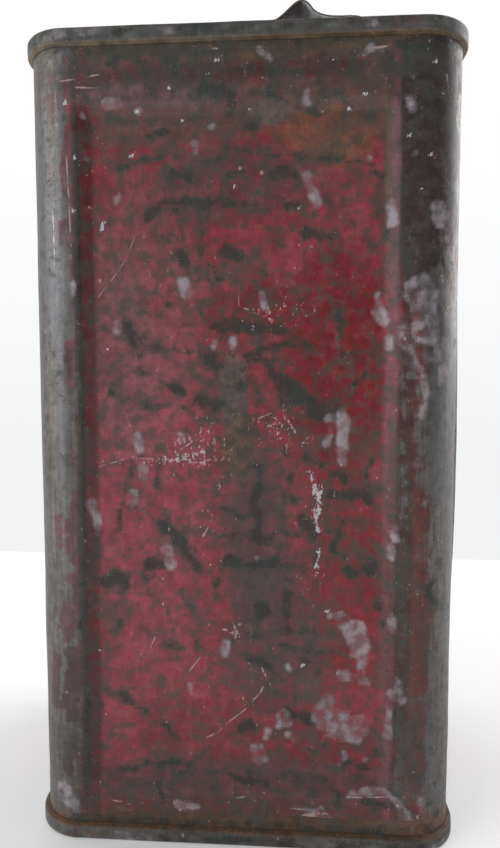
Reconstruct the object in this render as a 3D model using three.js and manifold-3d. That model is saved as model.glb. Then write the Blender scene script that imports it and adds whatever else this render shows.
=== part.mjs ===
// A one-gallon rectangular tinplate oil can: a folded body sheet with four pressed panels, two end
// plates joined to it by double seams, a riveted strap handle, and a screw-capped filler neck.
// Millimetres, +Z up. The origin is under the can's centre, on the surface that it stands on, and the
// broad front face looks along -Y.
import * as THREE from "three";
import { mergeVertices } from "three/addons/utils/BufferGeometryUtils.js";
import Module from "manifold-3d";

const wasm = await Module();
wasm.setup();

// ---- Driving dimensions ----
const WIDTH = 152; // over the body wall, along X
const DEPTH = 118; // over the body wall, along Y
const HEIGHT = 286; // from the bottom seam's crest to the top seam's crest
const CORNER_RADIUS = 16; // of the body's four upright corners
const SHEET = 0.3; // tinplate
const GAP = 0.3; // between pieces that touch on the real can
const CORNER_STEPS = 6; // straight pieces in a quarter turn of the body
const ROUND_STEPS = 36; // straight pieces in a full turn of a round part

// The double seam, as offsets outwards from the body wall and heights below the crest
const SEAM_OUT = 1.9;
const SEAM_HEIGHT = 5.2;
const SEAM_CREST_RADIUS = 0.6;
const PLATE_DROP = 5; // from the crest down to the end plate's outer face
const FLANGE_DROP = 1.4; // from the crest down to the body flange
const BODY_HOOK_OUT = 1.3;
const BODY_HOOK_END = 4.2;
const COVER_HOOK_OUT = 0.65;
const COVER_HOOK_END = 2.2;

// Pressed panels, one on each face
const PANEL_MARGIN = 21; // from the panel's edge to the body's side
const PANEL_SHIFT = -1.7; // along each face, because the sheet was folded a little off its middle
const PANEL_BOTTOM = 20;
const PANEL_TOP = 262;
const PANEL_PRESS = 2; // how far the panel's floor is pressed in
const PANEL_SLOPE = 4.8; // width of the sloped border around the floor
const PANEL_RADIUS = 5;

// Side seam, on the back face between the panel and the left corner
const SIDE_SEAM_X = -57.5;
const SIDE_SEAM_WIDTH = 4.4;
const SIDE_SEAM_RISE = 0.6;
const SIDE_SEAM_END = 9; // from the crests to the ends of the raised fold
const SOLDER = 0.5; // thickness of a run or a layer of solder

// Filler neck and cap, measured up from the top plate
const FILLER_X = -50;
const FILLER_Y = 34;
const NECK_BORE = 14.8;
const NECK_WALL = 0.8;
const NECK_HEIGHT = 15;
const NECK_SPIGOT = 1.5; // how far the neck reaches below the plate's outer face
const NECK_FLANGE_RADIUS = 20.5;
const NECK_FLANGE = 0.6;
const NECK_SOLDER_RADIUS = 22.3;
const THREAD_PITCH = 3;
const THREAD_HEIGHT = 0.9;
const THREAD_BASE = 1.3;
const THREAD_TIP = 0.6;
const THREAD_START = 5.5;
const THREAD_FADE = 0.15; // of a turn, over which each end of a thread sinks into the wall
const THREAD_ROOT_DEPTH = 0.3; // how far a thread's ridge is rooted in the wall
const NECK_THREAD_TURNS = 2;
const CAP_THREAD_TURNS = 1.5;
const CAP_BORE = 17.4;
const CAP_WALL = 0.7;
const CAP_TOP = 0.5;
const CAP_SKIRT_START = 4.6;
const CAP_THREAD_HEIGHT = 1.4;
const KNURLS = 48;
const KNURL_RISE = 0.5;
const KNURL_START = 1.5; // from the skirt's lower edge up to the ribs
const KNURL_HEIGHT = 8;
const LINER_RADIUS = 16.9;
const CORK = 1.8;
const FACING = 0.4;

// Handle strap
const STRAP_WIDTH = 20;
const STRAP_SHEET = 0.6;
const STRAP_HEM = 1.4; // thickness of the folded edges
const STRAP_HEM_WIDTH = 2.5;
const STRAP_LEG_X = 46;
const STRAP_FOOT_X = 62;
const STRAP_GRIP = 30; // above the foot
const STRAP_BEND = 4;
const RIVET_X = 54.5;
const RIVET_Y = 4.2;
const RIVET_SHANK = 1.5;
const RIVET_HEAD = 3;
const RIVET_HEAD_HEIGHT = 1.2;
const RIVET_TAIL = 2.5;
const RIVET_TAIL_HEIGHT = 0.8;
const PAD_HALF_WIDTH = 7; // of the solder under a foot, along Y

// ---- Places worked out from them ----
const TOP_PLATE = HEIGHT - PLATE_DROP;
const FOOT_BOTTOM = GAP + SOLDER + GAP; // above the plate
const FOOT_MIDDLE = TOP_PLATE + FOOT_BOTTOM + STRAP_SHEET / 2;
const NECK_OUTER = NECK_BORE + NECK_WALL;
const FACING_BOTTOM = NECK_HEIGHT + GAP;
const CORK_BOTTOM = FACING_BOTTOM + FACING + GAP;
const CAP_TOP_INSIDE = CORK_BOTTOM + CORK + GAP;

// ---- Geometry helpers ----

// A closed geometry as a manifold-3d solid.
function solidOf(geometry) {
  const bare = geometry.clone();
  bare.deleteAttribute("normal");
  bare.deleteAttribute("uv");
  const merged = mergeVertices(bare, 1e-4);
  return new wasm.Manifold(
    new wasm.Mesh({
      numProp: 3,
      vertProperties: merged.attributes.position.array,
      triVerts: new Uint32Array(merged.index.array),
    }),
  );
}

// A manifold-3d solid as a geometry.
function geometryOf(solid) {
  const mesh = solid.getMesh();
  const geometry = new THREE.BufferGeometry();
  geometry.setAttribute("position", new THREE.BufferAttribute(mesh.vertProperties, 3));
  geometry.setIndex(new THREE.BufferAttribute(mesh.triVerts, 1));
  geometry.computeVertexNormals();
  return geometry;
}

function geometryFrom(points, triangles) {
  const geometry = new THREE.BufferGeometry().setFromPoints(points);
  geometry.setIndex(triangles);
  return geometry;
}

// A rounded rectangle's outline, anticlockwise, with the same number of points at every size.
function roundedOutline(halfWidth, halfHeight, radius, steps = CORNER_STEPS) {
  const outline = [];
  const centres = [[1, 1], [-1, 1], [-1, -1], [1, -1]];
  centres.forEach(([sx, sy], corner) => {
    for (let step = 0; step <= steps; step += 1) {
      const angle = ((corner + step / steps) * Math.PI) / 2;
      outline.push(
        new THREE.Vector2(
          sx * (halfWidth - radius) + radius * Math.cos(angle),
          sy * (halfHeight - radius) + radius * Math.sin(angle),
        ),
      );
    }
  });
  return outline;
}

// Joins rings of equal length, each anticlockwise about the way that the rings advance.
function loftTriangles(ringCount, ringSize, closed) {
  const triangles = [];
  const last = closed ? ringCount : ringCount - 1;
  for (let ring = 0; ring < last; ring += 1) {
    for (let i = 0; i < ringSize; i += 1) {
      const next = (i + 1) % ringSize;
      const here = ring * ringSize;
      const there = ((ring + 1) % ringCount) * ringSize;
      triangles.push(here + i, here + next, there + next);
      triangles.push(here + i, there + next, there + i);
    }
  }
  return triangles;
}

// A solid through a list of rings, with a flat cap at each end.
function loft(rings) {
  const size = rings[0].length;
  const points = rings.flat();
  const triangles = loftTriangles(rings.length, size, false);
  [rings[0], rings.at(-1)].forEach((ring, end) => {
    const centre = ring.reduce((sum, p) => sum.add(p), new THREE.Vector3()).divideScalar(size);
    const first = end === 0 ? 0 : (rings.length - 1) * size;
    points.push(centre);
    for (let i = 0; i < size; i += 1) {
      const edge = [first + i, first + ((i + 1) % size)];
      triangles.push(points.length - 1, ...(end === 0 ? edge.reverse() : edge));
    }
  });
  return geometryFrom(points, triangles);
}

// Carries a closed profile of [offset from the body wall, height] round the can. The profile runs
// clockwise as seen with the offset to the right and height upwards.
function aroundBody(profile) {
  const rings = profile.toReversed().map(([offset, height]) =>
    roundedOutline(WIDTH / 2 + offset, DEPTH / 2 + offset, CORNER_RADIUS + offset).map(
      (p) => new THREE.Vector3(p.x, p.y, height),
    ),
  );
  return geometryFrom(rings.flat(), loftTriangles(rings.length, rings[0].length, true));
}

// A rounded rectangular plate that fills the body's outline at an offset.
function bodyPlate(offset, bottom, top) {
  const outline = roundedOutline(WIDTH / 2 + offset, DEPTH / 2 + offset, CORNER_RADIUS + offset);
  return loft([bottom, top].map((z) => outline.map((p) => new THREE.Vector3(p.x, p.y, z))));
}

// A turned solid about a vertical axis, from a profile of [radius, height] given anticlockwise.
function turned(profile, steps = ROUND_STEPS) {
  return new THREE.LatheGeometry(profile.map(([r, z]) => new THREE.Vector2(r, z)), steps).rotateX(
    Math.PI / 2,
  );
}

function cylinder(radius, bottom, top, steps = ROUND_STEPS) {
  return turned([[0, bottom], [radius, bottom], [radius, top], [0, top]], steps);
}

// A right-hand thread ridge between its root and crest radii. Its ends fade into the wall.
function threadRidge(root, crest, start, turns) {
  const steps = Math.round(turns * ROUND_STEPS);
  const outward = Math.sign(crest - root);
  const buried = root - outward * THREAD_ROOT_DEPTH;
  const sunk = root - outward * 0.05; // just under the wall's surface
  const rings = [];
  for (let step = 0; step <= steps; step += 1) {
    const turn = (turns * step) / steps;
    const fade = Math.min(1, turn / THREAD_FADE, (turns - turn) / THREAD_FADE);
    const tip = sunk + (crest - sunk) * fade;
    const middle = start + THREAD_PITCH * turn;
    const section = [
      [buried, THREAD_BASE / 2],
      [tip, THREAD_TIP / 2],
      [tip, -THREAD_TIP / 2],
      [buried, -THREAD_BASE / 2],
    ];
    if (outward < 0) section.reverse();
    const angle = turn * 2 * Math.PI;
    rings.push(
      section.map(
        ([r, z]) => new THREE.Vector3(r * Math.cos(angle), r * Math.sin(angle), middle + z),
      ),
    );
  }
  return loft(rings);
}

function joined(first, ...others) {
  return others.reduce((sum, geometry) => sum.add(solidOf(geometry)), solidOf(first));
}

function cut(solid, ...tools) {
  return tools.reduce((rest, geometry) => rest.subtract(solidOf(geometry)), solid);
}

// ---- Materials ----
function finish(color, roughness, metalness) {
  return () => new THREE.MeshStandardMaterial({ color, roughness, metalness });
}
const redPaint = finish(0x73323c, 0.45, 0.2);
const bareTin = finish(0x4c504e, 0.5, 0.8);
const solderMetal = finish(0x8d8f90, 0.45, 0.9);
const compound = finish(0x3a3632, 0.8, 0);
const corkFinish = finish(0xa9825a, 0.9, 0);
const paperFinish = finish(0xcfc4a8, 0.85, 0);

const can = new THREE.Group();

function place(name, geometry, material, parent = can) {
  const mesh = new THREE.Mesh(geometry, material());
  mesh.name = name;
  parent.add(mesh);
  return mesh;
}

// ---- Body sheet ----

// The wall with a hooked flange at its top and bottom, before the panels are pressed.
function bodyWall() {
  const hook = BODY_HOOK_OUT;
  const half = [
    [-SHEET, HEIGHT - FLANGE_DROP],
    [hook, HEIGHT - FLANGE_DROP],
    [hook, HEIGHT - BODY_HOOK_END],
    [hook - SHEET, HEIGHT - BODY_HOOK_END],
    [hook - SHEET, HEIGHT - FLANGE_DROP - SHEET],
    [0, HEIGHT - FLANGE_DROP - SHEET],
  ];
  const mirrored = half.map(([offset, z]) => [offset, HEIGHT - z]).reverse();
  return aroundBody([...half, ...mirrored]);
}

// A shallow tray-shaped block for one face, standing with its floor towards the can's middle.
// The outline grows by `grow` and the floor lies `depth` below the face.
function trayBlock(faceWidth, faceDistance, quarterTurns, grow, depth, above) {
  const halfWidth = faceWidth / 2 - PANEL_MARGIN;
  const halfHeight = (PANEL_TOP - PANEL_BOTTOM) / 2;
  const slope = PANEL_SLOPE / PANEL_PRESS;
  const rings = [-depth, above].map((z) => {
    const edge = grow + z * slope;
    const radius = Math.max(PANEL_RADIUS + edge, 1);
    return roundedOutline(halfWidth + edge, halfHeight + edge, radius, 3).map(
      (p) => new THREE.Vector3(p.x, p.y, z),
    );
  });
  return loft(rings)
    .translate(PANEL_SHIFT, (PANEL_TOP + PANEL_BOTTOM) / 2, faceDistance)
    .rotateX(Math.PI / 2)
    .rotateZ((quarterTurns * Math.PI) / 2);
}

function bodySheet() {
  const slopeAngle = Math.atan2(PANEL_PRESS, PANEL_SLOPE);
  const grow = SHEET / Math.sin(slopeAngle);
  let body = joined(bodyWall(), sideSeamFold());
  for (let turn = 0; turn < 4; turn += 1) {
    const [width, distance] = turn % 2 === 0 ? [WIDTH, DEPTH / 2] : [DEPTH, WIDTH / 2];
    const pad = trayBlock(width, distance, turn, grow, PANEL_PRESS + SHEET, -SHEET / 2);
    const pocket = trayBlock(width, distance, turn, 0, PANEL_PRESS, 0.2);
    body = cut(body.add(solidOf(pad)), pocket);
  }
  return geometryOf(body);
}

// The folded lock seam stands proud of the back face.
function sideSeamFold() {
  const height = HEIGHT - 2 * SIDE_SEAM_END;
  return new THREE.BoxGeometry(SIDE_SEAM_WIDTH, SIDE_SEAM_RISE + SHEET / 2, height).translate(
    SIDE_SEAM_X,
    DEPTH / 2 + SIDE_SEAM_RISE / 2 - SHEET / 4,
    HEIGHT / 2,
  );
}

function sideSeamSolder() {
  const height = HEIGHT - 2 * (SIDE_SEAM_END + 2);
  return new THREE.BoxGeometry(SIDE_SEAM_WIDTH - 1, SOLDER, height).translate(
    SIDE_SEAM_X,
    DEPTH / 2 - SHEET - GAP - SOLDER / 2,
    HEIGHT / 2,
  );
}

place("body_sheet", bodySheet(), redPaint);
place("side_seam_solder", sideSeamSolder(), solderMetal);

// ---- End plates ----

// The end's seamed rim: a chuck wall inside the body, over the crest, down outside, and hooked up
// between the body wall and the body's own hook. Heights are for the top end.
function seamRim() {
  const inner = -SHEET - GAP;
  const crest = HEIGHT;
  const radius = SEAM_CREST_RADIUS;
  const low = crest - SEAM_HEIGHT;
  return aroundBody([
    [inner - SHEET, TOP_PLATE - SHEET],
    [inner - SHEET, crest - radius],
    [inner - SHEET + radius, crest],
    [SEAM_OUT - radius, crest],
    [SEAM_OUT, crest - radius],
    [SEAM_OUT, low + radius],
    [SEAM_OUT - radius, low],
    [COVER_HOOK_OUT - SHEET, low],
    [COVER_HOOK_OUT - SHEET, crest - COVER_HOOK_END],
    [COVER_HOOK_OUT, crest - COVER_HOOK_END],
    [COVER_HOOK_OUT, low + SHEET],
    [SEAM_OUT - SHEET, low + SHEET],
    [SEAM_OUT - SHEET, crest - SHEET],
    [inner, crest - SHEET],
    [inner, TOP_PLATE - SHEET],
  ]);
}

// The rim with its plate across it.
function endBlank() {
  return joined(seamRim(), bodyPlate(-SHEET - GAP - SHEET / 2, TOP_PLATE - SHEET, TOP_PLATE));
}

function rivetPlaces() {
  return [-1, 1].flatMap((side) => [-1, 1].map((end) => [side * RIVET_X, end * RIVET_Y]));
}

function rivetHoles(bottom, top) {
  return rivetPlaces().map(([x, y]) =>
    cylinder(RIVET_SHANK + GAP, bottom, top, 16).translate(x, y, 0),
  );
}

function topEnd() {
  const below = TOP_PLATE - SHEET - 1;
  const above = TOP_PLATE + 1;
  const hole = cylinder(NECK_OUTER + GAP, below, above).translate(FILLER_X, FILLER_Y, 0);
  return geometryOf(cut(endBlank(), hole, ...rivetHoles(below, above)));
}

function bottomEnd() {
  return geometryOf(endBlank().mirror([0, 0, 1]).translate([0, 0, HEIGHT]));
}

// The sealing compound lies on the body flange, under the crest.
function seamCompound(flipped) {
  const profile = [
    [-SHEET, HEIGHT - FLANGE_DROP + GAP],
    [-SHEET, HEIGHT - SHEET - GAP],
    [BODY_HOOK_OUT - GAP, HEIGHT - SHEET - GAP],
    [BODY_HOOK_OUT - GAP, HEIGHT - FLANGE_DROP + GAP],
  ];
  const turnedOver = profile.map(([offset, z]) => [offset, HEIGHT - z]).reverse();
  return aroundBody(flipped ? turnedOver : profile);
}

place("top_end", topEnd(), bareTin);
place("bottom_end", bottomEnd(), bareTin);
place("top_seam_compound", seamCompound(false), compound);
place("bottom_seam_compound", seamCompound(true), compound);

// ---- Filler neck and screw cap, in a group on the filler's axis at the top plate ----
const filler = new THREE.Group();
filler.position.set(FILLER_X, FILLER_Y, TOP_PLATE);
can.add(filler);

function fillerNeck() {
  const LIP = 0.4;
  const tube = turned([
    [NECK_BORE, -NECK_SPIGOT],
    [NECK_OUTER, -NECK_SPIGOT],
    [NECK_OUTER, GAP],
    [NECK_FLANGE_RADIUS, GAP],
    [NECK_FLANGE_RADIUS, GAP + NECK_FLANGE],
    [NECK_OUTER, GAP + NECK_FLANGE],
    [NECK_OUTER, NECK_HEIGHT - LIP],
    [NECK_OUTER - LIP / 2, NECK_HEIGHT],
    [NECK_BORE + LIP / 2, NECK_HEIGHT],
    [NECK_BORE, NECK_HEIGHT - LIP],
    [NECK_BORE, -NECK_SPIGOT],
  ]);
  const crest = NECK_OUTER + THREAD_HEIGHT;
  return geometryOf(
    joined(tube, threadRidge(NECK_OUTER, crest, THREAD_START, NECK_THREAD_TURNS)),
  );
}

// A fillet of solder around the neck's flange.
function neckSolder() {
  const inner = NECK_FLANGE_RADIUS + GAP;
  return turned([
    [inner, GAP],
    [NECK_SOLDER_RADIUS, GAP],
    [inner, GAP + SOLDER + NECK_FLANGE / 2],
    [inner, GAP],
  ]);
}

// The knurled band: ribs round the skirt, hollow inside.
function knurledBand() {
  const outer = CAP_BORE + CAP_WALL;
  const shape = new THREE.Shape();
  for (let i = 0; i < KNURLS * 4; i += 1) {
    const radius = i % 4 < 2 ? outer + KNURL_RISE : outer + 0.02;
    const angle = (i * Math.PI * 2) / (KNURLS * 4);
    shape[i === 0 ? "moveTo" : "lineTo"](radius * Math.cos(angle), radius * Math.sin(angle));
  }
  shape.holes.push(new THREE.Path().absarc(0, 0, CAP_BORE + CAP_WALL / 2, 0, Math.PI * 2, true));
  const band = new THREE.ExtrudeGeometry(shape, {
    depth: KNURL_HEIGHT,
    bevelEnabled: false,
    curveSegments: ROUND_STEPS,
  });
  return band.translate(0, 0, CAP_SKIRT_START + KNURL_START);
}

function screwCap() {
  const outer = CAP_BORE + CAP_WALL;
  const top = CAP_TOP_INSIDE + CAP_TOP;
  const EDGE = 1.2; // bevel around the top
  const shell = turned([
    [0, CAP_TOP_INSIDE],
    [CAP_BORE - EDGE / 2, CAP_TOP_INSIDE],
    [CAP_BORE, CAP_TOP_INSIDE - EDGE / 2],
    [CAP_BORE, CAP_SKIRT_START],
    [outer, CAP_SKIRT_START],
    [outer, top - EDGE],
    [outer - EDGE, top],
    [0, top],
  ]);
  // Half a pitch above the neck's thread, so that the two ridges lie between each other.
  const start = THREAD_START + THREAD_PITCH / 2;
  const ridge = threadRidge(CAP_BORE, CAP_BORE - CAP_THREAD_HEIGHT, start, CAP_THREAD_TURNS);
  return geometryOf(joined(shell, knurledBand(), ridge));
}

place("filler_neck", fillerNeck(), bareTin, filler);
place("neck_solder", neckSolder(), solderMetal, filler);
place("screw_cap", screwCap(), bareTin, filler);
place("cork_liner", cylinder(LINER_RADIUS, CORK_BOTTOM, CORK_BOTTOM + CORK), corkFinish, filler);
place(
  "liner_facing",
  cylinder(LINER_RADIUS, FACING_BOTTOM, FACING_BOTTOM + FACING),
  paperFinish,
  filler,
);

// ---- Handle ----

// The strap's middle line, from the left foot over the grip to the right foot. The grip has been
// bent: it rises at 45 degrees to a buckle right of the middle and sinks back in a hollow curve.
function strapLine() {
  const foot = 0;
  const grip = STRAP_GRIP;
  const bend = STRAP_BEND;
  const leg = STRAP_LEG_X;
  const buckle = grip + 6.8; // where the buckle's steep side ends
  const line = new THREE.Path();
  line.moveTo(-STRAP_FOOT_X, foot);
  line.lineTo(-leg - bend, foot);
  line.quadraticCurveTo(-leg, foot, -leg, foot + bend);
  line.lineTo(-leg, grip - 1 - bend);
  line.quadraticCurveTo(-leg, grip - 1, -leg + bend, grip - 1);
  line.lineTo(8, grip);
  line.quadraticCurveTo(11, grip, 13, grip + 2);
  line.lineTo(17.5, buckle);
  line.quadraticCurveTo(21, buckle + 2.2, 23.5, buckle);
  line.quadraticCurveTo(25, grip + 2.5, 34, grip + 0.8);
  line.lineTo(leg - bend, grip + 0.6);
  line.quadraticCurveTo(leg, grip + 0.6, leg, grip + 0.6 - bend);
  line.lineTo(leg, foot + bend);
  line.quadraticCurveTo(leg, foot, leg + bend, foot);
  line.lineTo(STRAP_FOOT_X, foot);
  return line.getPoints(4);
}

// A ribbon of even thickness along a line in the X-Z plane, from one Y to another.
function ribbon(line, thickness, fromY, toY) {
  const side = (distance) =>
    line.map((point, i) => {
      const before = line[Math.max(i - 1, 0)];
      const after = line[Math.min(i + 1, line.length - 1)];
      const into = point.clone().sub(before).normalize();
      const out = after.clone().sub(point).normalize();
      const along = into.add(out).normalize();
      return new THREE.Vector2(-along.y, along.x).multiplyScalar(distance).add(point);
    });
  const outline = [...side(-thickness / 2), ...side(thickness / 2).reverse()];
  return new THREE.ExtrudeGeometry(new THREE.Shape(outline), {
    depth: toY - fromY,
    bevelEnabled: false,
  })
    .rotateX(Math.PI / 2)
    .translate(0, toY, FOOT_MIDDLE);
}

function handleStrap() {
  const line = strapLine();
  const half = STRAP_WIDTH / 2;
  const strap = joined(
    ribbon(line, STRAP_SHEET, -half, half),
    ribbon(line, STRAP_HEM, -half, -half + STRAP_HEM_WIDTH),
    ribbon(line, STRAP_HEM, half - STRAP_HEM_WIDTH, half),
  );
  return geometryOf(cut(strap, ...rivetHoles(TOP_PLATE, FOOT_MIDDLE + 2)));
}

// The solder sweated under one foot, with the rivets' holes through it.
function footSolder(side) {
  const from = STRAP_LEG_X + STRAP_BEND;
  const pad = new THREE.BoxGeometry(STRAP_FOOT_X - from, 2 * PAD_HALF_WIDTH, SOLDER).translate(
    (side * (STRAP_FOOT_X + from)) / 2,
    0,
    TOP_PLATE + GAP + SOLDER / 2,
  );
  return geometryOf(cut(solidOf(pad), ...rivetHoles(TOP_PLATE, FOOT_MIDDLE)));
}

function rivet() {
  const under = TOP_PLATE - SHEET - GAP;
  const over = FOOT_MIDDLE + STRAP_SHEET / 2 + GAP;
  return turned(
    [
      [0, under - RIVET_TAIL_HEIGHT],
      [RIVET_TAIL * 0.8, under - RIVET_TAIL_HEIGHT],
      [RIVET_TAIL, under],
      [RIVET_SHANK, under],
      [RIVET_SHANK, over],
      [RIVET_HEAD, over],
      [RIVET_HEAD * 0.8, over + RIVET_HEAD_HEIGHT * 0.65],
      [0, over + RIVET_HEAD_HEIGHT],
    ],
    16,
  );
}

place("handle_strap", handleStrap(), redPaint);
place("handle_solder_left", footSolder(-1), solderMetal);
place("handle_solder_right", footSolder(1), solderMetal);
rivetPlaces().forEach(([x, y], i) => {
  place(`handle_rivet_${i + 1}`, rivet(), solderMetal).position.set(x, y, 0);
});

export default can;
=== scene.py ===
"""A worn one-gallon oil can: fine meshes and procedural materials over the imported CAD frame.

Everything is in the CAD frame: +Z up, and the broad front face looks along -Y. Meshes are worked
out in millimetres and stored in metres. The driving sizes come from the boxes of the CAD nodes,
and the rest are named values below.
"""

import math

import bpy
import numpy as np
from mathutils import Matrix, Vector


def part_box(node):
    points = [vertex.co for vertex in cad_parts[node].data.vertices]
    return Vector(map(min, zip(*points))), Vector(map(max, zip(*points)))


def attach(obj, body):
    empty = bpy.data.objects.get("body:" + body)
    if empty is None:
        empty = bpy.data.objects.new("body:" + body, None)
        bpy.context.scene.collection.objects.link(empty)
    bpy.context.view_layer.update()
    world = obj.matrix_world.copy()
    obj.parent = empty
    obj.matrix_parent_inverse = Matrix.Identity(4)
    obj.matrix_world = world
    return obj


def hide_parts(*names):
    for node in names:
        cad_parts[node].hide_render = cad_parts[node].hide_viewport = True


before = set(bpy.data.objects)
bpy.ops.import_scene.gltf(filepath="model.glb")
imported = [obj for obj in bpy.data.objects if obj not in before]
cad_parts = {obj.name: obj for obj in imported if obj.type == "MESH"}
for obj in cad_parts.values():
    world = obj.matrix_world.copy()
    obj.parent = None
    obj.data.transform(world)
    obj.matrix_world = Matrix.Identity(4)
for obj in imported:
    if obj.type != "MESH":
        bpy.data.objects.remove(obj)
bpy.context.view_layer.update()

MM = 0.001


# ---- Sizes, in millimetres ----
def node_box(name):
    """A CAD node's lowest and highest corner, in millimetres."""
    low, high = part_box(name)
    return np.array(low) / MM, np.array(high) / MM


SEAM_OUT = 1.9  # how far a double seam stands out from the body wall
SEAM_HEIGHT = 5.2
SEAM_GAP = 0.3  # between the body wall and the end plate inside a seam
PLATE_DROP = 5.0  # from a seam's crest to its end plate
SHEET = 0.3
CORNER_RADIUS = 16.0
rim_high = node_box("top_end")[1]
HALF_WIDTH = rim_high[0] - SEAM_OUT
HALF_DEPTH = rim_high[1] - SEAM_OUT
HEIGHT = rim_high[2]
PLATE = HEIGHT - PLATE_DROP
CLOSED_HOLE = 0.5  # the radius of the hole in the bottom plate that a fan of faces closes
BODY_END = 1.8  # from a seam's crest to the end of the body sheet inside it

PANEL_MARGIN = 21.0  # from a face's side to the edge of its panel
PANEL_SHIFT = -1.7  # from a face's middle to the middle of its panel
PANEL_BOTTOM = 20.0
PANEL_TOP = 262.0
PANEL_MIDDLE = (PANEL_TOP + PANEL_BOTTOM) / 2
PANEL_HALF = (PANEL_TOP - PANEL_BOTTOM) / 2
PANEL_PRESS = 2.0  # how deep a panel is pressed in
PANEL_SLOPE = 4.8  # the width of the slope round it
PANEL_RADIUS = 6.0
SEAM_FOLD_X = -57.5  # the side seam, on the back
SEAM_FOLD_WIDTH = 4.4
SEAM_FOLD_RISE = 0.6

# How far apart the wall's points are: on its flat parts, and on the panels' borders
FRONT_STEPS = (1.0, 0.5)
OTHER_STEPS = (3.2, 1.2)
ROW_STEPS = (1.25, 0.6)
INNER_ROW_STEPS = (14, 1.6)
PLATE_ROWS = 16  # of points across an end plate

# The neck's and the cap's heights are above the top plate
neck_low, neck_high = node_box("filler_neck")
cap_low, cap_high = node_box("screw_cap")
FILLER = (*(cap_low + cap_high)[:2] / 2, PLATE)
NECK_TOP = neck_high[2] - PLATE
NECK_BORE = 14.8
NECK_OUTER = 15.6
NECK_FLANGE = (neck_high[0] - neck_low[0]) / 2
NECK_HOLE = 15.9  # in the top plate
CAP_BOTTOM = cap_low[2] - PLATE
CAP_TOP = cap_high[2] - PLATE
CAP_CREST = (cap_high[0] - cap_low[0]) / 2
CAP_BORE = 17.4
CAP_OUTER = 18.1
KNURLS = 48
THREAD_PITCH = 3.0
THREAD_START = 5.5

STRAP_HALF = 10.0  # half the handle's width
LEG_X = 46.0
FOOT_X = 62.0
GRIP = 30.0  # how high the grip is above the feet
FOOT_MIDDLE = PLATE + 1.4
RIVET_HEAD = 3.0
RIVET_SHANK = 1.5

# ---- Camera, floor and light ----
LENS = 27.4
CAMERA_PLACE = (18, -HALF_DEPTH - 222.4, 168.4)  # in millimetres
CAMERA_DOWN = 0.071  # radians below level
CAMERA_LEFT = 0.067
FLOOR = (0.84, 0.84, 0.85)
FLOOR_GLOW = 0.19  # keeps the floor pale in the can's shadow
FLOOR_REACH = 1.5  # in metres, to the sides and in front
FLOOR_BEHIND = 0.32
SURROUND = (0.99, 0.995, 1)
ROOM_FRONT = 0.13  # the room behind the camera
ROOM_BACK = 0.97  # the white surroundings behind and beside the can
ROOM_CHANGE = (-0.35, 0.3)  # between which Y of its direction the one turns into the other
BACKDROP = (0.9, 1.02)  # what the camera sees of the surroundings, low down and high up
BACKDROP_RISE = (-0.1, 0.35)  # the Z of the direction low down and high up
# Square lamps: name, place and target in metres, size and power
LAMPS = [
    ("window_left", (-1.75, -1.1, 0.65), (0, 0, 0.15), 1.75, 32),
    ("overhead", (0, 0.1, 1.4), (0, 0, 0), 2.0, 4),
    ("fill_right", (1.0, 0.5, 0.6), (0, 0, 0.15), 0.8, 8),
]


# ---- Colours ----
def linear(code):
    """A colour written as six hexadecimal digits, in linear light."""
    parts = [int(code[i : i + 2], 16) / 255 for i in (0, 2, 4)]
    return np.array([c / 12.92 if c <= 0.04045 else ((c + 0.055) / 1.055) ** 2.4 for c in parts])


CRIMSON = linear("913a45")
PINKISH = linear("9a4757")
BRIGHT_RED = linear("771b23")
DEEP_RED = linear("6b2328")
PURPLE_BROWN = linear("584044")
ORANGE_BROWN = linear("7a4b39")
DULL_BROWN = linear("5a4742")
OLIVE = linear("5f5240")
GREY_GREEN = linear("5c605a")
RED_BROWN = linear("5a3632")
NAVY_BLACK = linear("35302f")
MAROON = linear("4a1f24")
# painted light: the lit pink of the panel's right slope
PAINTED_LIT_PINK = linear("7d4a57")
MAUVE_GREY = linear("6c565a")
DUSTY = linear("8f5f64")
TAN = linear("7d6e5a")
RUST_BROWN = linear("54422f")

FILM = linear("4b4a45")
DUST = linear("7b7368")
GRIME_BROWN = linear("33302c")
GRIME_GREEN = linear("2e3835")
TIN_DARK = linear("514e4a")
TIN_LIGHT = linear("7c7874")
TIN_COOL = linear("6d7077")
RUST_DARK = linear("4a382c")
RUST_LIGHT = linear("856046")
PALE_DARK = linear("84787e")
PALE_LIGHT = linear("aea3a9")
CHIP = linear("cfb2b2")
PRIMER = linear("cdd3d8")

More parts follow.
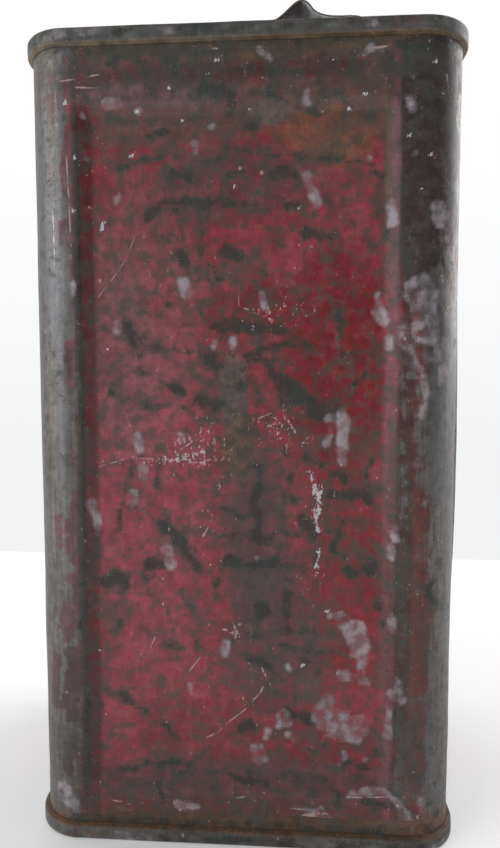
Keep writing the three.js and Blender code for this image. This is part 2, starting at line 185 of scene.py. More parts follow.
# ---- Marks on the front face, in millimetres across and up it ----
# Each mark starts with the half width of its stroke, and goes on with the points it runs through.
GRIME_AND_SHADE_STROKES = [
    # the top band
    (2.4, (-13, 265), (-3, 262.5)), (1.1, (-3, 263), (10, 262), (20, 258.5), (27, 256)),
    (0.7, (8, 266), (16, 264), (22, 261)), (1.4, (0, 281), (22, 280), (46, 281)),
    (1.2, (22, 275), (40, 276)), (1.0, (-62, 279), (-30, 278)), (1.3, (-46, 275), (-20, 276)),
    (0.9, (-12, 270), (14, 271.5), (30, 270)), (1.6, (52, 278), (66, 276)),
    # the panel's upper third
    (1.9, (-32, 252), (-25, 253)), (1.0, (-40, 251), (-36, 249)),
    (1.0, (-46, 239.5), (-39, 240.5), (-34, 242.5)), (1.8, (-34, 243), (-28, 244)),
    (0.8, (-28, 243), (-10, 243), (5, 244), (20, 243)), (1.2, (20, 243), (33, 242), (45, 240.5)),
    (1.5, (-22, 237.5), (-13, 237)), (2.1, (-33, 224), (-31, 227.5), (-27, 229), (-19, 229)),
    (1.8, (-19, 229), (-8, 228.5), (5, 227)), (1.2, (-22, 226), (-21, 217)),
    (2.4, (-22, 212), (-21, 206)), (0.9, (-13, 225), (-14, 216)), (1.9, (-7, 213), (-2, 210)),
    (1.2, (-10, 208), (-9, 201)), (1.5, (-28, 195), (-26, 194)), (1.2, (-48, 222), (-50, 218)),
    (1.2, (-49, 210), (-45, 210)), (1.4, (1, 254), (4, 253.5)), (1.0, (-5, 247), (4, 245)),
    (1.2, (-3, 238), (3, 239)), (1.6, (10, 238), (19, 237)), (1.0, (15, 228), (19, 227)),
    (1.6, (28, 229), (29, 228)), (1.7, (22, 218), (26, 216.5), (32, 216)),
    (1.4, (21.5, 196), (22.5, 196)), (2.1, (33, 190), (35, 186)), (1.3, (12, 215), (14, 213)),
    (1.0, (6, 205), (11, 202)), (1.4, (44, 237), (47, 236)),
    # the middle
    (1.2, (-35, 181.5), (-29, 179), (-19, 177)), (0.9, (-36, 178), (-35, 170)),
    (1.8, (-41, 187), (-38, 180)), (0.9, (-49, 160), (-44, 167)),
    (1.3, (-42, 160.5), (-30, 158.5)), (1.9, (-27, 165.5), (-20, 164)),
    (3.2, (-13, 176), (-7, 173)), (2.8, (-14, 160), (-8, 158)), (0.9, (-20, 187), (-12, 186)),
    (2.3, (-12, 186), (2, 186), (12, 185)), (1.7, (10, 185), (22, 181)),
    (1.6, (3, 177), (12, 179), (24, 179)), (1.3, (2, 176), (8, 174), (13, 173)),
    (2.4, (10, 171), (15, 162)), (3.8, (14, 168), (20, 161), (28, 157)),
    (2.6, (28, 156), (34, 157)), (1.1, (36, 177), (45, 177)), (1.3, (43, 171), (38, 166)),
    (1.6, (22, 143), (27, 138)), (1.8, (33, 135), (36, 133)), (2.6, (31, 128), (44, 127)),
    (1.4, (45, 138), (44, 133)), (2.8, (20, 120), (23, 114)), (0.6, (16, 147), (17, 120)),
    (0.8, (-43, 138), (-43, 115)), (1.4, (-40, 137), (-40, 135)), (0.6, (-30, 140), (-31, 120)),
    (2.6, (-29, 118), (-24, 114), (-20, 108)), (2.2, (-20, 108), (-17, 101)),
    # the lower left
    (2.4, (-36, 97), (-33, 101), (-30, 103)), (1.7, (-35, 97), (-34, 90)),
    (3.4, (-48, 95.5), (-43, 95.5)), (0.8, (-45, 90), (-45, 75)), (1.5, (-19, 87), (-18, 85)),
    (1.2, (-27, 73), (-22, 70.5)), (0.9, (-16, 75), (-16, 70)), (1.6, (-51, 57), (-48, 55)),
    (1.1, (-47, 55), (-36, 48), (-28, 43), (-23, 38)), (2.4, (-29, 27), (-21, 27.5)),
    (1.3, (-42, 25), (-30, 28)), (1.8, (-30, 22), (-29, 15)),
    # the dirty column down the middle
    (2.4, (6, 137), (6, 112)), (0.8, (-7, 140), (-8, 127)), (1.6, (-8, 122), (3, 120)),
    (1.3, (-7, 113), (10, 112)), (3.4, (-6, 104), (3, 103), (13, 103)), (1.3, (-9, 99), (-10, 92)),
    (2.4, (6, 87), (7, 85)), (2.6, (15, 93), (17, 79)), (2.8, (5, 68), (10, 65)),
    (1.1, (13, 74), (22, 72), (34, 71)), (1.0, (22, 69), (30, 62)), (3.2, (19, 48), (24, 46)),
    (1.7, (1, 43), (4, 43)),
    # right of the middle, and along the bottom
    (2.5, (38, 101), (45, 101)), (1.4, (48, 88), (49, 81)), (1.8, (34, 116), (33, 107)),
    (1.7, (-2, 24), (10, 23)), (1.8, (38, 30), (46, 29)), (1.4, (44, 18), (53, 15)),
    (1.5, (34, 20), (37, 16)), (1.2, (-62, 7), (60, 7)),
    # the right margin
    (1.6, (64, 97), (67, 88)),
    # painted shade: a dark line down the panel's left crease
    (0.5, (-57, 258), (-57, 24)),
]

# Pale residue: drips and spots
PALE_MARKS = [
    # drips
    (0.9, (22, 237), (23.5, 232)), (1.7, (24, 231), (25.5, 228)), (1.7, (50.5, 226), (51.5, 221)),
    (1.4, (46.5, 196), (46.5, 191)), (1.9, (46.5, 191), (48.5, 188)),
    (1.2, (50.5, 182), (50.5, 179)), (1.8, (-20.5, 202), (-19.5, 198)),
    (1.2, (6.5, 197), (7.5, 193)), (2.0, (35, 156), (35.3, 151)), (1.8, (35.3, 150), (35.3, 140)),
    (1.8, (-37, 147.5), (-36.5, 144)), (1.6, (-54, 124), (-52.5, 119)),
    (1.1, (-52, 117), (-52, 114)), (1.6, (-26.5, 107.5), (-25.5, 102)),
    (1.2, (53, 117), (53, 113)), (1.3, (52, 109.5), (52, 106.5)), (3.6, (40, 80), (42, 73)),
    (2.0, (43, 70), (43, 67)), (1.4, (-6.3, 73), (-6.3, 70)), (1.0, (13.5, 47), (13.5, 44)),
    (1.2, (17, 40), (18.5, 38)), (1.1, (9.5, 42), (8.5, 39)), (0.9, (22, 263.5), (22, 260.5)),
    (1.2, (56, 259.5), (56.5, 256.5)),
    # round spots
    (1.0, (-44, 187.5), (-44, 185)), (1.0, (-22, 148), (-21, 147)), (0.9, (43, 242.5)),
    (1.0, (58, 242.5)), (0.9, (57, 267)), (0.9, (5.5, 105)), (1.1, (-2.5, 182), (-3, 180)),
    (1.0, (-9.5, 180)), (1.3, (17, 65.5)), (1.0, (31.5, 84.5)), (1.1, (-58.7, 201), (-58.5, 198)),
    (0.9, (-58.5, 226)), (0.9, (-15.7, 248), (-16, 246)), (0.9, (-42.7, 231), (-43.2, 228.5)),
    (0.9, (-54, 258)), (0.9, (-54, 244)), (0.9, (-35, 259)), (0.9, (-10, 253)),
    # along the edge of the bare metal on the right margin
    (0.7, (57.5, 179), (60, 172), (63, 164), (61.5, 155)), (1.1, (64, 19), (64.5, 14)),
]

# Thinner residue, which the paint shows through
FAINT_MARKS = [
    (5.6, (31, 47), (36, 44)), (2.6, (42, 46), (42, 42)), (2.0, (31, 53)),
    (2.0, (43, 66), (43, 62)), (1.8, (36, 64), (40, 63)), (1.4, (34, 84), (36, 82)),
    (1.5, (-35, 137), (-34.5, 132)), (1.5, (-39, 128), (-38.5, 124)),
    (1.1, (-19, 58), (-17.5, 53)), (1.2, (30.5, 155), (30, 146)), (2.0, (5.5, 34), (6.5, 32.5)),
    (0.9, (17, 48), (17, 45)), (1.3, (36.5, 33)), (1.3, (43.5, 33)), (1.4, (53, 57), (55, 56)),
    (1.1, (51, 52), (52, 43)), (0.8, (55, 62), (54.5, 58)), (1.2, (51, 84), (52, 80)),
    (1.1, (55.5, 186), (55, 181)), (4.2, (61.5, 198), (62, 184)), (2.0, (66, 178), (68, 168)),
    (2.2, (67, 225), (69, 216)), (1.4, (-45, 262.5), (-42, 262)), (3.0, (-67, 16), (-62, 12)),
    (0.7, (-23, 14), (-22, 12), (-16, 12.5)), (0.6, (-44, 12), (-41, 12)),
    (0.5, (21, 14), (30, 13.5)), (0.9, (38, 20), (51, 20.5), (57, 15), (60, 11)),
    (0.8, (39, 275), (42, 277), (47, 275)), (1.0, (7, 278), (9, 275)),
]

# Small bright splashes
SPLASHES = [
    (0.7, (-60, 262)), (0.7, (-24, 266)), (0.7, (-8, 274)), (0.7, (31, 273)), (0.8, (64, 272)),
    (0.7, (62, 256), (62, 254.5)), (0.7, (60, 231)), (0.7, (63, 242)), (0.7, (60.5, 242)),
    (0.7, (-38, 245)), (0.7, (-20, 256)), (0.7, (-48, 222.5), (-49, 219.5)), (0.7, (-44, 229)),
    (0.7, (20, 226)), (0.7, (36, 258)), (0.7, (-50, 251)), (0.7, (-2, 234)), (0.7, (56, 249)),
    (0.7, (-57, 244)), (0.7, (-58, 226)), (0.7, (41, 262)), (0.7, (-36, 259)), (0.7, (8, 268)),
    (0.7, (67, 262)), (0.7, (30, 86)), (0.7, (-52, 70)), (0.7, (-47, 178)), (0.7, (22, 66)),
]

# The brightest streak, where the paint is scraped off
STREAK = [
    (0.8, (22.5, 136), (24.5, 133)), (1.3, (26.8, 131), (26.6, 122)),
    (1.1, (26.2, 121), (26.6, 112)), (0.8, (27, 110), (26, 100)), (0.5, (29, 110), (28, 107)),
    (0.5, (18, 117), (21, 115)),
]

# Bare tin on the margins, and a painted reflection down the right corner
BARE_AND_SHEEN_MARKS = [
    (5.0, (66, 200), (65.5, 182)), (6.0, (66, 180), (68, 165), (68, 145)),
    (5.0, (69, 145), (70, 120)), (4.0, (70, 120), (71.5, 90), (73, 60)),
    # the strip at X 75.5 is a painted reflection: bare tin down the right corner, for the bright
    # light that it catches
    (2.5, (-73, 250), (-73, 130)), (1.6, (75.5, 262), (75.5, 170)),
]

# Paint that is left on the bare margins
PAINT_LEFT = [
    (1.9, (-58, 252), (-58, 205)), (2.4, (-62, 141), (-62, 137)), (2.8, (-61, 124), (-62, 104)),
    (2.4, (-66, 118), (-65, 108)), (2.4, (-60.5, 97), (-61, 80)), (2.2, (-65, 86), (-64, 74)),
    (2.6, (-61, 70), (-63, 45)), (2.0, (-69, 68), (-68, 48)), (2.2, (-62, 35), (-64, 25)),
    (2.4, (-61, 180), (-61, 168)), (1.8, (-60, 250), (-61, 232)), (1.8, (-62, 222), (-62, 215)),
    (2.0, (58, 165), (58, 135)), (2.0, (59, 130), (60, 100)), (3.4, (61, 90), (61, 60)),
    (3.0, (61, 50), (62, 25)),
]

# Thin bright scratches
SCRATCHES = [
    (0.12, (-36, 220), (-40, 210), (-45, 203), (-50, 197)), (0.25, (0, 193), (9, 189), (15, 187)),
    (0.2, (-1, 199), (-1, 193)), (0.22, (-51, 137), (-44, 139), (-38, 141)),
    (0.2, (-38, 140), (-20, 139.5)), (0.35, (-19.5, 149), (-17.5, 146), (-22, 143)),
    (0.45, (-21, 140), (-16, 138.5), (-11, 139.5)), (0.35, (16, 154), (19, 149)),
    (0.35, (5, 154), (10, 156)), (0.3, (-12, 115.5), (-14, 112)), (0.25, (-15, 68), (-19, 63)),
    (0.3, (7, 65), (9, 61)), (0.22, (8, 59), (7, 56), (1, 49), (-5, 44)),
    (0.35, (-5, 44), (-9, 40), (-13, 38)), (0.35, (-7, 79), (-1, 76), (-3, 81)),
    (0.25, (-31.5, 75), (-34, 69)), (0.25, (-62, 269), (-48, 271)), (0.25, (17, 219), (22, 219)),
    (0.35, (-27, 12), (-16, 12.5)), (0.3, (-24, 14.5), (-22.5, 11)), (0.3, (18, 14), (31, 12.5)),
    (0.25, (22, 11.5), (33, 11)), (0.3, (38, 19), (52, 19.5)), (0.25, (-2, 17), (4, 18)),
    (0.3, (-47, 14), (-41, 13)), (0.25, (-56, 267), (-42, 266)), (0.3, (-16, 279), (-8, 278)),
    (0.3, (40, 276), (48, 277)), (0.3, (6, 278), (10, 275)), (0.25, (-60, 244), (-59, 214)),
    (0.2, (-66, 236), (-65, 205)), (0.25, (68, 268), (69, 262)),
]

# Soft patches of colour on the front, some of them painted shade and light: middle, reach each way,
# colour and strength
FRONT_TONES = [
    ((-32, 120), (20, 55), PINKISH, 0.55), ((-25, 50), (32, 26), PINKISH, 0.3),
    ((33, 172), (18, 42), BRIGHT_RED, 0.85), ((36, 96), (15, 36), BRIGHT_RED, 0.6),
    ((8, 195), (10, 8), BRIGHT_RED, 0.5), ((-38, 225), (18, 25), DEEP_RED, 0.5),
    ((0, 235), (30, 12), PURPLE_BROWN, 0.5), ((-22, 255), (30, 7), DULL_BROWN, 0.75),
    ((29, 251), (17, 9), ORANGE_BROWN, 0.95), ((37, 243), (7, 5), ORANGE_BROWN, 0.7),
    ((10, 258), (7, 4), GREY_GREEN, 0.7), ((-3, 164), (5, 13), GREY_GREEN, 0.75),
    ((-1, 144), (6, 13), OLIVE, 0.85), ((5, 110), (12, 30), PURPLE_BROWN, 0.75),
    ((12, 75), (16, 30), PURPLE_BROWN, 0.6), ((5, 40), (45, 14), DEEP_RED, 0.5),
    ((0, 22), (70, 8), PURPLE_BROWN, 0.7), ((51, 240), (3, 28), OLIVE, 0.8),
    ((-34, 190), (20, 46), DUSTY, 0.35), ((0, 272), (90, 7), DULL_BROWN, 0.65),
    ((-20, 270), (28, 3.5), MAROON, 0.75), ((24, 271), (26, 3), MAROON, 0.7),
    # painted shade: these olive and near-black bands darken the wall just under the top seam
    ((0, 280), (95, 5), OLIVE, 0.9), ((-15, 279), (50, 3), NAVY_BLACK, 0.6),
    ((-30, 264), (34, 4), MAUVE_GREY, 0.8), ((30, 264), (26, 4), DULL_BROWN, 0.8),
    ((50, 262), (12, 16), DULL_BROWN, 0.8), ((-42, 175), (12, 34), MAUVE_GREY, 0.3),
    ((0, 12), (70, 5), RED_BROWN, 0.7), ((0, 5), (90, 6), RUST_BROWN, 0.95),
    ((62, 9), (14, 2), TAN, 0.7), ((63, 245), (13, 60), NAVY_BLACK, 0.95),
    # painted shade and light on the panel's sides: maroon on the left slope and near-black in its
    # crease at X -57, a lit pink on the right slope, and near-black in the crease beside it at X
    # 56.5
    ((-54.3, 140), (3.2, 170), MAROON, 0.6), ((51.6, 140), (2.0, 150), PAINTED_LIT_PINK, 0.8),
    ((-66, 150), (9, 170), MAUVE_GREY, 0.75), ((-57, 140), (1.6, 150), NAVY_BLACK, 0.85),
    ((60, 95), (10, 85), RED_BROWN, 0.85), ((56.5, 118), (2.6, 110), NAVY_BLACK, 0.65),
    ((-62, 90), (6, 90), PURPLE_BROWN, 0.4), ((-64, 36), (9, 36), NAVY_BLACK, 0.65),
]

# Where the front is dirtier or cleaner than the rest, or painted in shade: middle, reach each way
# and how much
DIRTIER_AND_SHADED = [
    ((0, 273), (90, 8), 0.14), ((0, 243), (55, 22), 0.06), ((-5, 215), (18, 14), 0.08),
    ((-18, 214), (10, 13), 0.14), ((0, 200), (18, 20), 0.08), ((2, 165), (16, 24), 0.25),
    ((8, 112), (20, 34), 0.18), ((38, 112), (12, 30), 0.1), ((15, 70), (26, 22), 0.1),
    ((10, 30), (50, 12), 0.1), ((-30, 85), (26, 30), -0.06), ((-28, 48), (22, 16), -0.12),
    ((32, 190), (14, 24), -0.12), ((36, 150), (14, 14), -0.06), ((40, 215), (12, 30), 0.06),
    ((61, 80), (7, 70), 0.16), ((-64, 32), (9, 20), 0.25), ((66, 30), (12, 26), 0.12),
    # the narrow strips at X 56.5 and -56.5 are painted shade in the panel's creases
    ((65, 150), (9, 60), -0.3), ((56.5, 118), (2, 110), 0.1), ((-56.5, 145), (1.8, 130), 0.14),
    ((-66, 150), (9, 110), -0.05),
]

# Where the front has more or less bare tin than the rest: middle, reach each way and how much
TINNED = [
    ((-67, 150), (9, 140), 0.06), ((-60, 150), (3.5, 150), 0.12),
    ((-57.5, 150), (1.6, 150), -0.15), ((-66, 45), (12, 50), -0.22), ((-60, 268), (20, 12), -0.35),
    ((64, 245), (16, 50), -0.5), ((69, 155), (6, 40), 0.2), ((60, 70), (9, 60), -0.25),
    ((72, 90), (6, 90), 0.15),
]

# Where the paint is chipped into bright specks: middle, reach each way and how thickly
CHIPPED = [
    ((-15, 143), (12, 8), 1.3), ((-30, 139), (18, 3), 1.0), ((9, 193), (12, 7), 1.1),
    ((12, 150), (10, 9), 1.4), ((25, 120), (4, 20), 0.7), ((-11, 112), (5, 12), 0.6),
    ((-3, 78), (8, 5), 1.2), ((5, 54), (8, 18), 0.6), ((-5, 16), (60, 5), 0.4),
    ((-58, 27), (6, 6), 0.9), ((0, 272), (75, 9), 0.3), ((-52, 240), (5, 25), 0.4),
]

# Dents and bulges: face, distance along it, height, reach along and up, and how far out
DENTS = [
    (0, 64, 140, 9, 60, 1.2),
    (1, -30, 140, 30, 55, 1.6),
    (0, -61, 174, 5, 8, -0.6),
    (0, 58, 16, 9, 4, -1.4),
    (0, 10, 150, 40, 60, -0.8),
    (0, -25, 70, 25, 30, 0.5),
    (2, 15, 120, 35, 50, -1.2),
    (2, -20, 210, 20, 20, 0.6),
    (3, 5, 170, 22, 45, -1.0),
    (1, 10, 220, 20, 25, -0.7),
]

SOFT = 2.4  # how far a field slopes on each side of a mark's edge
CLEAR_END = 12  # how far strewn marks keep from the can's ends
INNER_WEAR = (0.8, 0.2, 0.1, 0.2)  # tin, grime, pale residue and rust inside the body
FAR_ASIDE = 9  # a place this many half widths aside of a scratch isn't scratched
UNSCRATCHED = (FAR_ASIDE, 0, 0)


# ---- Small numeric helpers ----
def ramp(t, softness=0.1):
    """0 below 0 and 1 above 1, straight between, with rounded corners."""
    return 0.5 * (np.sqrt(t**2 + softness**2) - np.sqrt((t - 1) ** 2 + softness**2) + 1)


def smooth(low, high, value):
    """0 at low, 1 at high, with level ends."""
    t = np.clip((value - low) / (high - low), 0, 1)
    return t * t * (3 - 2 * t)


def hump(value, middle, reach):
    """1 at the middle, fading to nothing past the reach on each side."""
    return np.exp(-(((value - middle) / reach) ** 2))


def lattice_noise(a, b, size, seed):
    """Smooth noise from -1 to 1 over two coordinates, with features of about that size."""
    cells = 64
    table = np.random.default_rng(seed).uniform(-1, 1, (cells, cells))
    a, b = np.asarray(a) / size, np.asarray(b) / size
    ia, ib = np.floor(a).astype(int), np.floor(b).astype(int)
    ta, tb = a - ia, b - ib
    ta, tb = ta * ta * (3 - 2 * ta), tb * tb * (3 - 2 * tb)

    def corner(da, db):
        return table[(ia + da) % cells, (ib + db) % cells]

    near = corner(0, 0) * (1 - ta) + corner(1, 0) * ta
    far = corner(0, 1) * (1 - ta) + corner(1, 1) * ta
    return near * (1 - tb) + far * tb


def layered_noise(a, b, size, seed):
    """Lattice noise with two finer layers on top."""
    parts = (1, 2, 4)
    layers = [lattice_noise(a, b, size / part, seed + i) / part for i, part in enumerate(parts)]
    return sum(layers) / sum(1 / part for part in parts)


def stroke_distance(x, z, half_width, *points):
    """How far a place lies outside a stroke, negative inside it. A single point is a round spot."""
    nearest = np.full(np.broadcast(x, z).shape, np.inf)
    for (x0, z0), (x1, z1) in zip(points, points[1:] or points):
        dx, dz = x1 - x0, z1 - z0
        share = ((x - x0) * dx + (z - z0) * dz) / max(dx * dx + dz * dz, 1e-6)
        share = np.clip(share, 0, 1)
        nearest = np.minimum(nearest, np.hypot(x - x0 - share * dx, z - z0 - share * dz))
    return nearest - half_width


def marked(x, z, marks, wander):
    """A field that crosses 0.5 at the edges of the marks, on a slope that a shader can sharpen. The
    marks wander by about that many millimetres."""
    x = x + wander * lattice_noise(x, z, 5, 31)
    z = z + wander * lattice_noise(x, z, 5, 32)
    distance = np.min([stroke_distance(x, z, *mark) for mark in marks], axis=0)
    distance = distance + 0.9 * wander * layered_noise(x, z, 3.5, 33)
    return np.clip(0.5 - distance / (2 * SOFT), 0, 1)


def densest(x, z, patches):
    """The sum of soft oval patches, each as strong as its last value."""
    total = 0
    for (x0, z0), (reach_x, reach_z), amount in patches:
        total = total + amount * hump(x, x0, reach_x) * hump(z, z0, reach_z)
    return total


def random_marks(seed, count, reach, widths, lengths, level):
    """Marks strewn over a face. Their half widths and lengths lie between two values each, and
    `level` is the share of them that run across and not up."""
    draw = np.random.default_rng(seed)
    low, high = widths
    marks = []
    for _ in range(count):
        x, z = draw.uniform(-reach, reach), draw.uniform(CLEAR_END, HEIGHT - CLEAR_END)
        tilt = draw.normal(0, 0.25) + (0 if draw.random() < level else math.pi / 2)
        length = draw.uniform(*lengths)
        end = (x + length * math.cos(tilt), z + length * math.sin(tilt))
        marks.append((low + (high - low) * draw.random() ** 2, (x, z), end))
    return marks


def scratch_sides(x, z):
    """For the nearest scratch: how far aside of it a place lies, in half widths with a sign, and
    how near it is, from 0 at 1 mm to 1. The sign lets a line be thinner than the mesh."""
    nearest = np.full(np.broadcast(x, z).shape, np.inf)
    side = np.full(nearest.shape, float(FAR_ASIDE))
    for half_width, *points in SCRATCHES:
        for (x0, z0), (x1, z1) in zip(points, points[1:]):
            distance = stroke_distance(x, z, 0, (x0, z0), (x1, z1))
            aside = (x - x0) * (z1 - z0) - (z - z0) * (x1 - x0)
            aside = aside / math.hypot(x1 - x0, z1 - z0) / half_width
            side = np.where(distance < nearest, aside, side)
            nearest = np.minimum(distance, nearest)
    return side, np.clip(1 - nearest, 0, 1)


# ---- Mesh helpers. Points are in millimetres until they become a mesh. ----
def add_piece(name, points, faces, body, nodes, material):
    """A mesh object that rides on a CAD body and stands for CAD nodes."""
    mesh = bpy.data.meshes.new(name)
    mesh.from_pydata((np.asarray(points) * MM).tolist(), [], faces)
    mesh.validate()
    mesh.polygons.foreach_set("use_smooth", [True] * len(mesh.polygons))
    mesh.materials.append(material)
    piece = bpy.data.objects.new(name, mesh)
    bpy.context.scene.collection.objects.link(piece)
    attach(piece, body)
    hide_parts(*nodes)
    return piece


def paint_points(piece, tone, wear, scratches=UNSCRATCHED):
    """Stores on the points the paint's colour, the fields of tin, grime, pale residue and rust, and
    the side and nearness of scratches with the thickness of chips. On the front wall the colour and
    the grime also hold painted shade and light."""
    count = len(piece.data.vertices)
    colours = np.ones((count, 4))
    colours[:, :3] = tone
    sides = np.zeros((count, 4))
    sides[:, :3] = scratches
    for name, values in (("tone", colours), ("wear", wear), ("scratches", sides)):
        layer = piece.data.color_attributes.new(name, "FLOAT_COLOR", "POINT")
        layer.data.foreach_set("color", np.broadcast_to(values, (count, 4)).ravel())


def grid_faces(rows, columns, wrap_rows=False, start=0):
    """Quads between rings of points that run anticlockwise, with the rows going up or inwards."""
    faces = []
    for row in range(rows if wrap_rows else rows - 1):
        lower = start + row * columns
        upper = start + (row + 1) % rows * columns
        for column in range(columns):
            after = (column + 1) % columns
            faces.append((lower + column, lower + after, upper + after, upper + column))
    return faces


def fan_faces(ring_start, columns, centre, upwards):
    """Triangles from a ring to a centre point."""
    faces = []
    for column in range(columns):
        a, b = ring_start + column, ring_start + (column + 1) % columns
        faces.append((a, b, centre) if upwards else (b, a, centre))
    return faces


def flipped_faces(faces):
    """The faces seen from their other side."""
    return [tuple(reversed(face)) for face in faces]


def capped_faces(rows, columns):
    """The faces of rings that are closed by two centre points, which follow the rings' points."""
    count = rows * columns
    faces = grid_faces(rows, columns)
    faces += fan_faces(0, columns, count, upwards=False)
    return faces + fan_faces(count - columns, columns, count + 1, upwards=True)


def rings_of(profile, centre, columns, shape):
    """Points of a turned shape as rows of columns. shape(radius, angle, height) bends them."""
    profile = np.array(profile, float)
    angle = np.arange(columns)[None, :] * 2 * math.pi / columns
    angle = np.repeat(angle, len(profile), axis=0)
    radius = np.repeat(profile[:, :1], columns, axis=1)
    height = np.repeat(profile[:, 1:], columns, axis=1)
    if shape:
        radius, height = shape(radius, angle, height)
    x, y, z = centre
    return np.stack([x + radius * np.cos(angle), y + radius * np.sin(angle), z + height], axis=-1)


def turned_piece(name, profile, centre, columns, body, nodes, material, shape=None):
    """A closed turned solid. The profile of (radius, height) runs from the axis below, round the
    outside, to the axis above."""
    rings = rings_of(profile[1:-1], centre, columns, shape)
    x, y, z = centre
    ends = [[x, y, z + profile[0][1]], [x, y, z + profile[-1][1]]]
    points = np.vstack([rings.reshape(-1, 3), ends])
    faces = capped_faces(len(rings), columns)
    add_piece(name, points, faces, body, nodes, material)


def ring_piece(name, profile, centre, columns, body, nodes, material, shape=None):
    """A closed turned ring. The profile of (radius, height) is closed and anticlockwise."""
    rings = rings_of(profile, centre, columns, shape)
    faces = grid_faces(len(rings), columns, wrap_rows=True)
    add_piece(name, rings.reshape(-1, 3), faces, body, nodes, material)


def filled(corners, step):
    """Points along a polyline at most `step` apart."""
    points = []
    for (r0, z0), (r1, z1) in zip(corners[:-1], corners[1:]):
        count = max(1, math.ceil(math.hypot(r1 - r0, z1 - z0) / step))
        points += [(r0 + (r1 - r0) * i / count, z0 + (z1 - z0) * i / count) for i in range(count)]
    return points + [corners[-1]]


def give_thickness(piece, thickness):
    """Turns an open sheet into a closed one, growing inwards."""
    solidify = piece.modifiers.new("thickness", "SOLIDIFY")
    solidify.thickness = thickness * MM
    solidify.offset = -1
    solidify.use_rim = True


# ---- Materials ----
def map_range(nodes, low, high, to_low, to_high, soft=False):
    """A node that maps low..high onto to_low..to_high and stops at both ends."""
    node = nodes.new("ShaderNodeMapRange")
    node.interpolation_type = "SMOOTHSTEP" if soft else "LINEAR"
    for socket, number in zip(node.inputs[1:5], (low, high, to_low, to_high)):
        socket.default_value = number
    return node


class Finish:
    """A procedural material, with a short call for each kind of node that feeds its shader."""

    def __init__(self, name):
        self.material = bpy.data.materials.new(name)
        self.material.use_nodes = True
        self.nodes = self.material.node_tree.nodes
        self.links = self.material.node_tree.links
        self.shader = self.nodes["Principled BSDF"]
        self.place = self.nodes.new("ShaderNodeTexCoord").outputs["Object"]

    def feed(self, socket, value):
        """Links an output to a socket, or sets the socket's own value."""
        if isinstance(value, bpy.types.NodeSocket):
            self.links.new(value, socket)
        elif socket.type == "RGBA":
            socket.default_value = (*value, 1)
        else:
            socket.default_value = value

    def set(self, **inputs):
        for name, value in inputs.items():
            self.feed(self.shader.inputs[name.replace("_", " ").title()], value)

    def math(self, operation, *values, clamp=False):
        node = self.nodes.new("ShaderNodeMath")
        node.operation = operation
        node.use_clamp = clamp
        for socket, value in zip(node.inputs, values):
            self.feed(socket, value)
        return node.outputs[0]

    def greatest(self, first, *others):
        """The greatest of the values."""
        for other in others:
            first = self.math("MAXIMUM", first, other)
        return first

    def mixed(self, first, *others):
        """The mean of the values."""
        for other in others:
            first = self.math("ADD", first, other)
        return self.math("MULTIPLY", first, 1 / (1 + len(others)))

    def moved(self, field, noise, amount):
        """A field moved up and down by a noise around 0.5."""
        return self.math("MULTIPLY_ADD", self.math("SUBTRACT", noise, 0.5), amount, field)

    def scaled_place(self, size, stretch, shift):
        """The place in units of `size` mm, drawn out by the stretch along each axis."""
        node = self.nodes.new("ShaderNodeVectorMath")
        node.operation = "MULTIPLY_ADD"
        scale = [1 / (size * MM * s) for s in stretch]
        for socket, value in zip(node.inputs, (self.place, scale, (shift, shift, shift))):
            self.feed(socket, value)
        return node.outputs[0]

    def noise(self, size, detail=3, rough=0.6, stretch=(1, 1, 1), shift=0):
        """Noise around 0.5 with features of about `size` mm."""
        node = self.nodes.new("ShaderNodeTexNoise")
        node.inputs["Scale"].default_value = 1
        node.inputs["Detail"].default_value = detail
        node.inputs["Roughness"].default_value = rough
        self.feed(node.inputs["Vector"], self.scaled_place(size, stretch, shift))
        return node.outputs["Fac"]

    def specks(self, size, share, largest, stretch=(1, 1, 1), shift=0):
        """Round specks in a share of the cells of about `size` mm, up to `largest` of a cell."""
        node = self.nodes.new("ShaderNodeTexVoronoi")
        node.inputs["Scale"].default_value = 1
        self.feed(node.inputs["Vector"], self.scaled_place(size, stretch, shift))
        radius = self.ramp(self.split(node.outputs["Color"])[0], 1 - share, 1, 0, largest)
        edge = self.math("SUBTRACT", radius, node.outputs["Distance"])
        return self.math("MULTIPLY", edge, 30, clamp=True)

    def ramp(self, value, low, high, to_low=0.0, to_high=1.0, soft=False):
        node = map_range(self.nodes, low, high, to_low, to_high, soft)
        self.feed(node.inputs[0], value)
        return node.outputs[0]

    def blend(self, factor, first, second, mode="MIX"):
        node = self.nodes.new("ShaderNodeMix")
        node.data_type = "RGBA"
        node.blend_type = mode
        self.feed(node.inputs[0], factor)
        self.feed(node.inputs[6], first)
        self.feed(node.inputs[7], second)
        return node.outputs[2]

    def attribute(self, name):
        """A colour stored on the points, as its colour and its fourth value."""
        node = self.nodes.new("ShaderNodeAttribute")
        node.attribute_name = name
        return node.outputs["Color"], node.outputs["Alpha"]

    def split(self, colour):
        node = self.nodes.new("ShaderNodeSeparateColor")
        self.feed(node.inputs[0], colour)
        return node.outputs[0], node.outputs[1], node.outputs[2]

    def bump(self, height, depth):
        """Relief where a height of 1 is `depth` mm."""
        node = self.nodes.new("ShaderNodeBump")
        node.inputs["Distance"].default_value = depth * MM
        self.feed(node.inputs["Height"], height)
        self.feed(self.shader.inputs["Normal"], node.outputs[0])


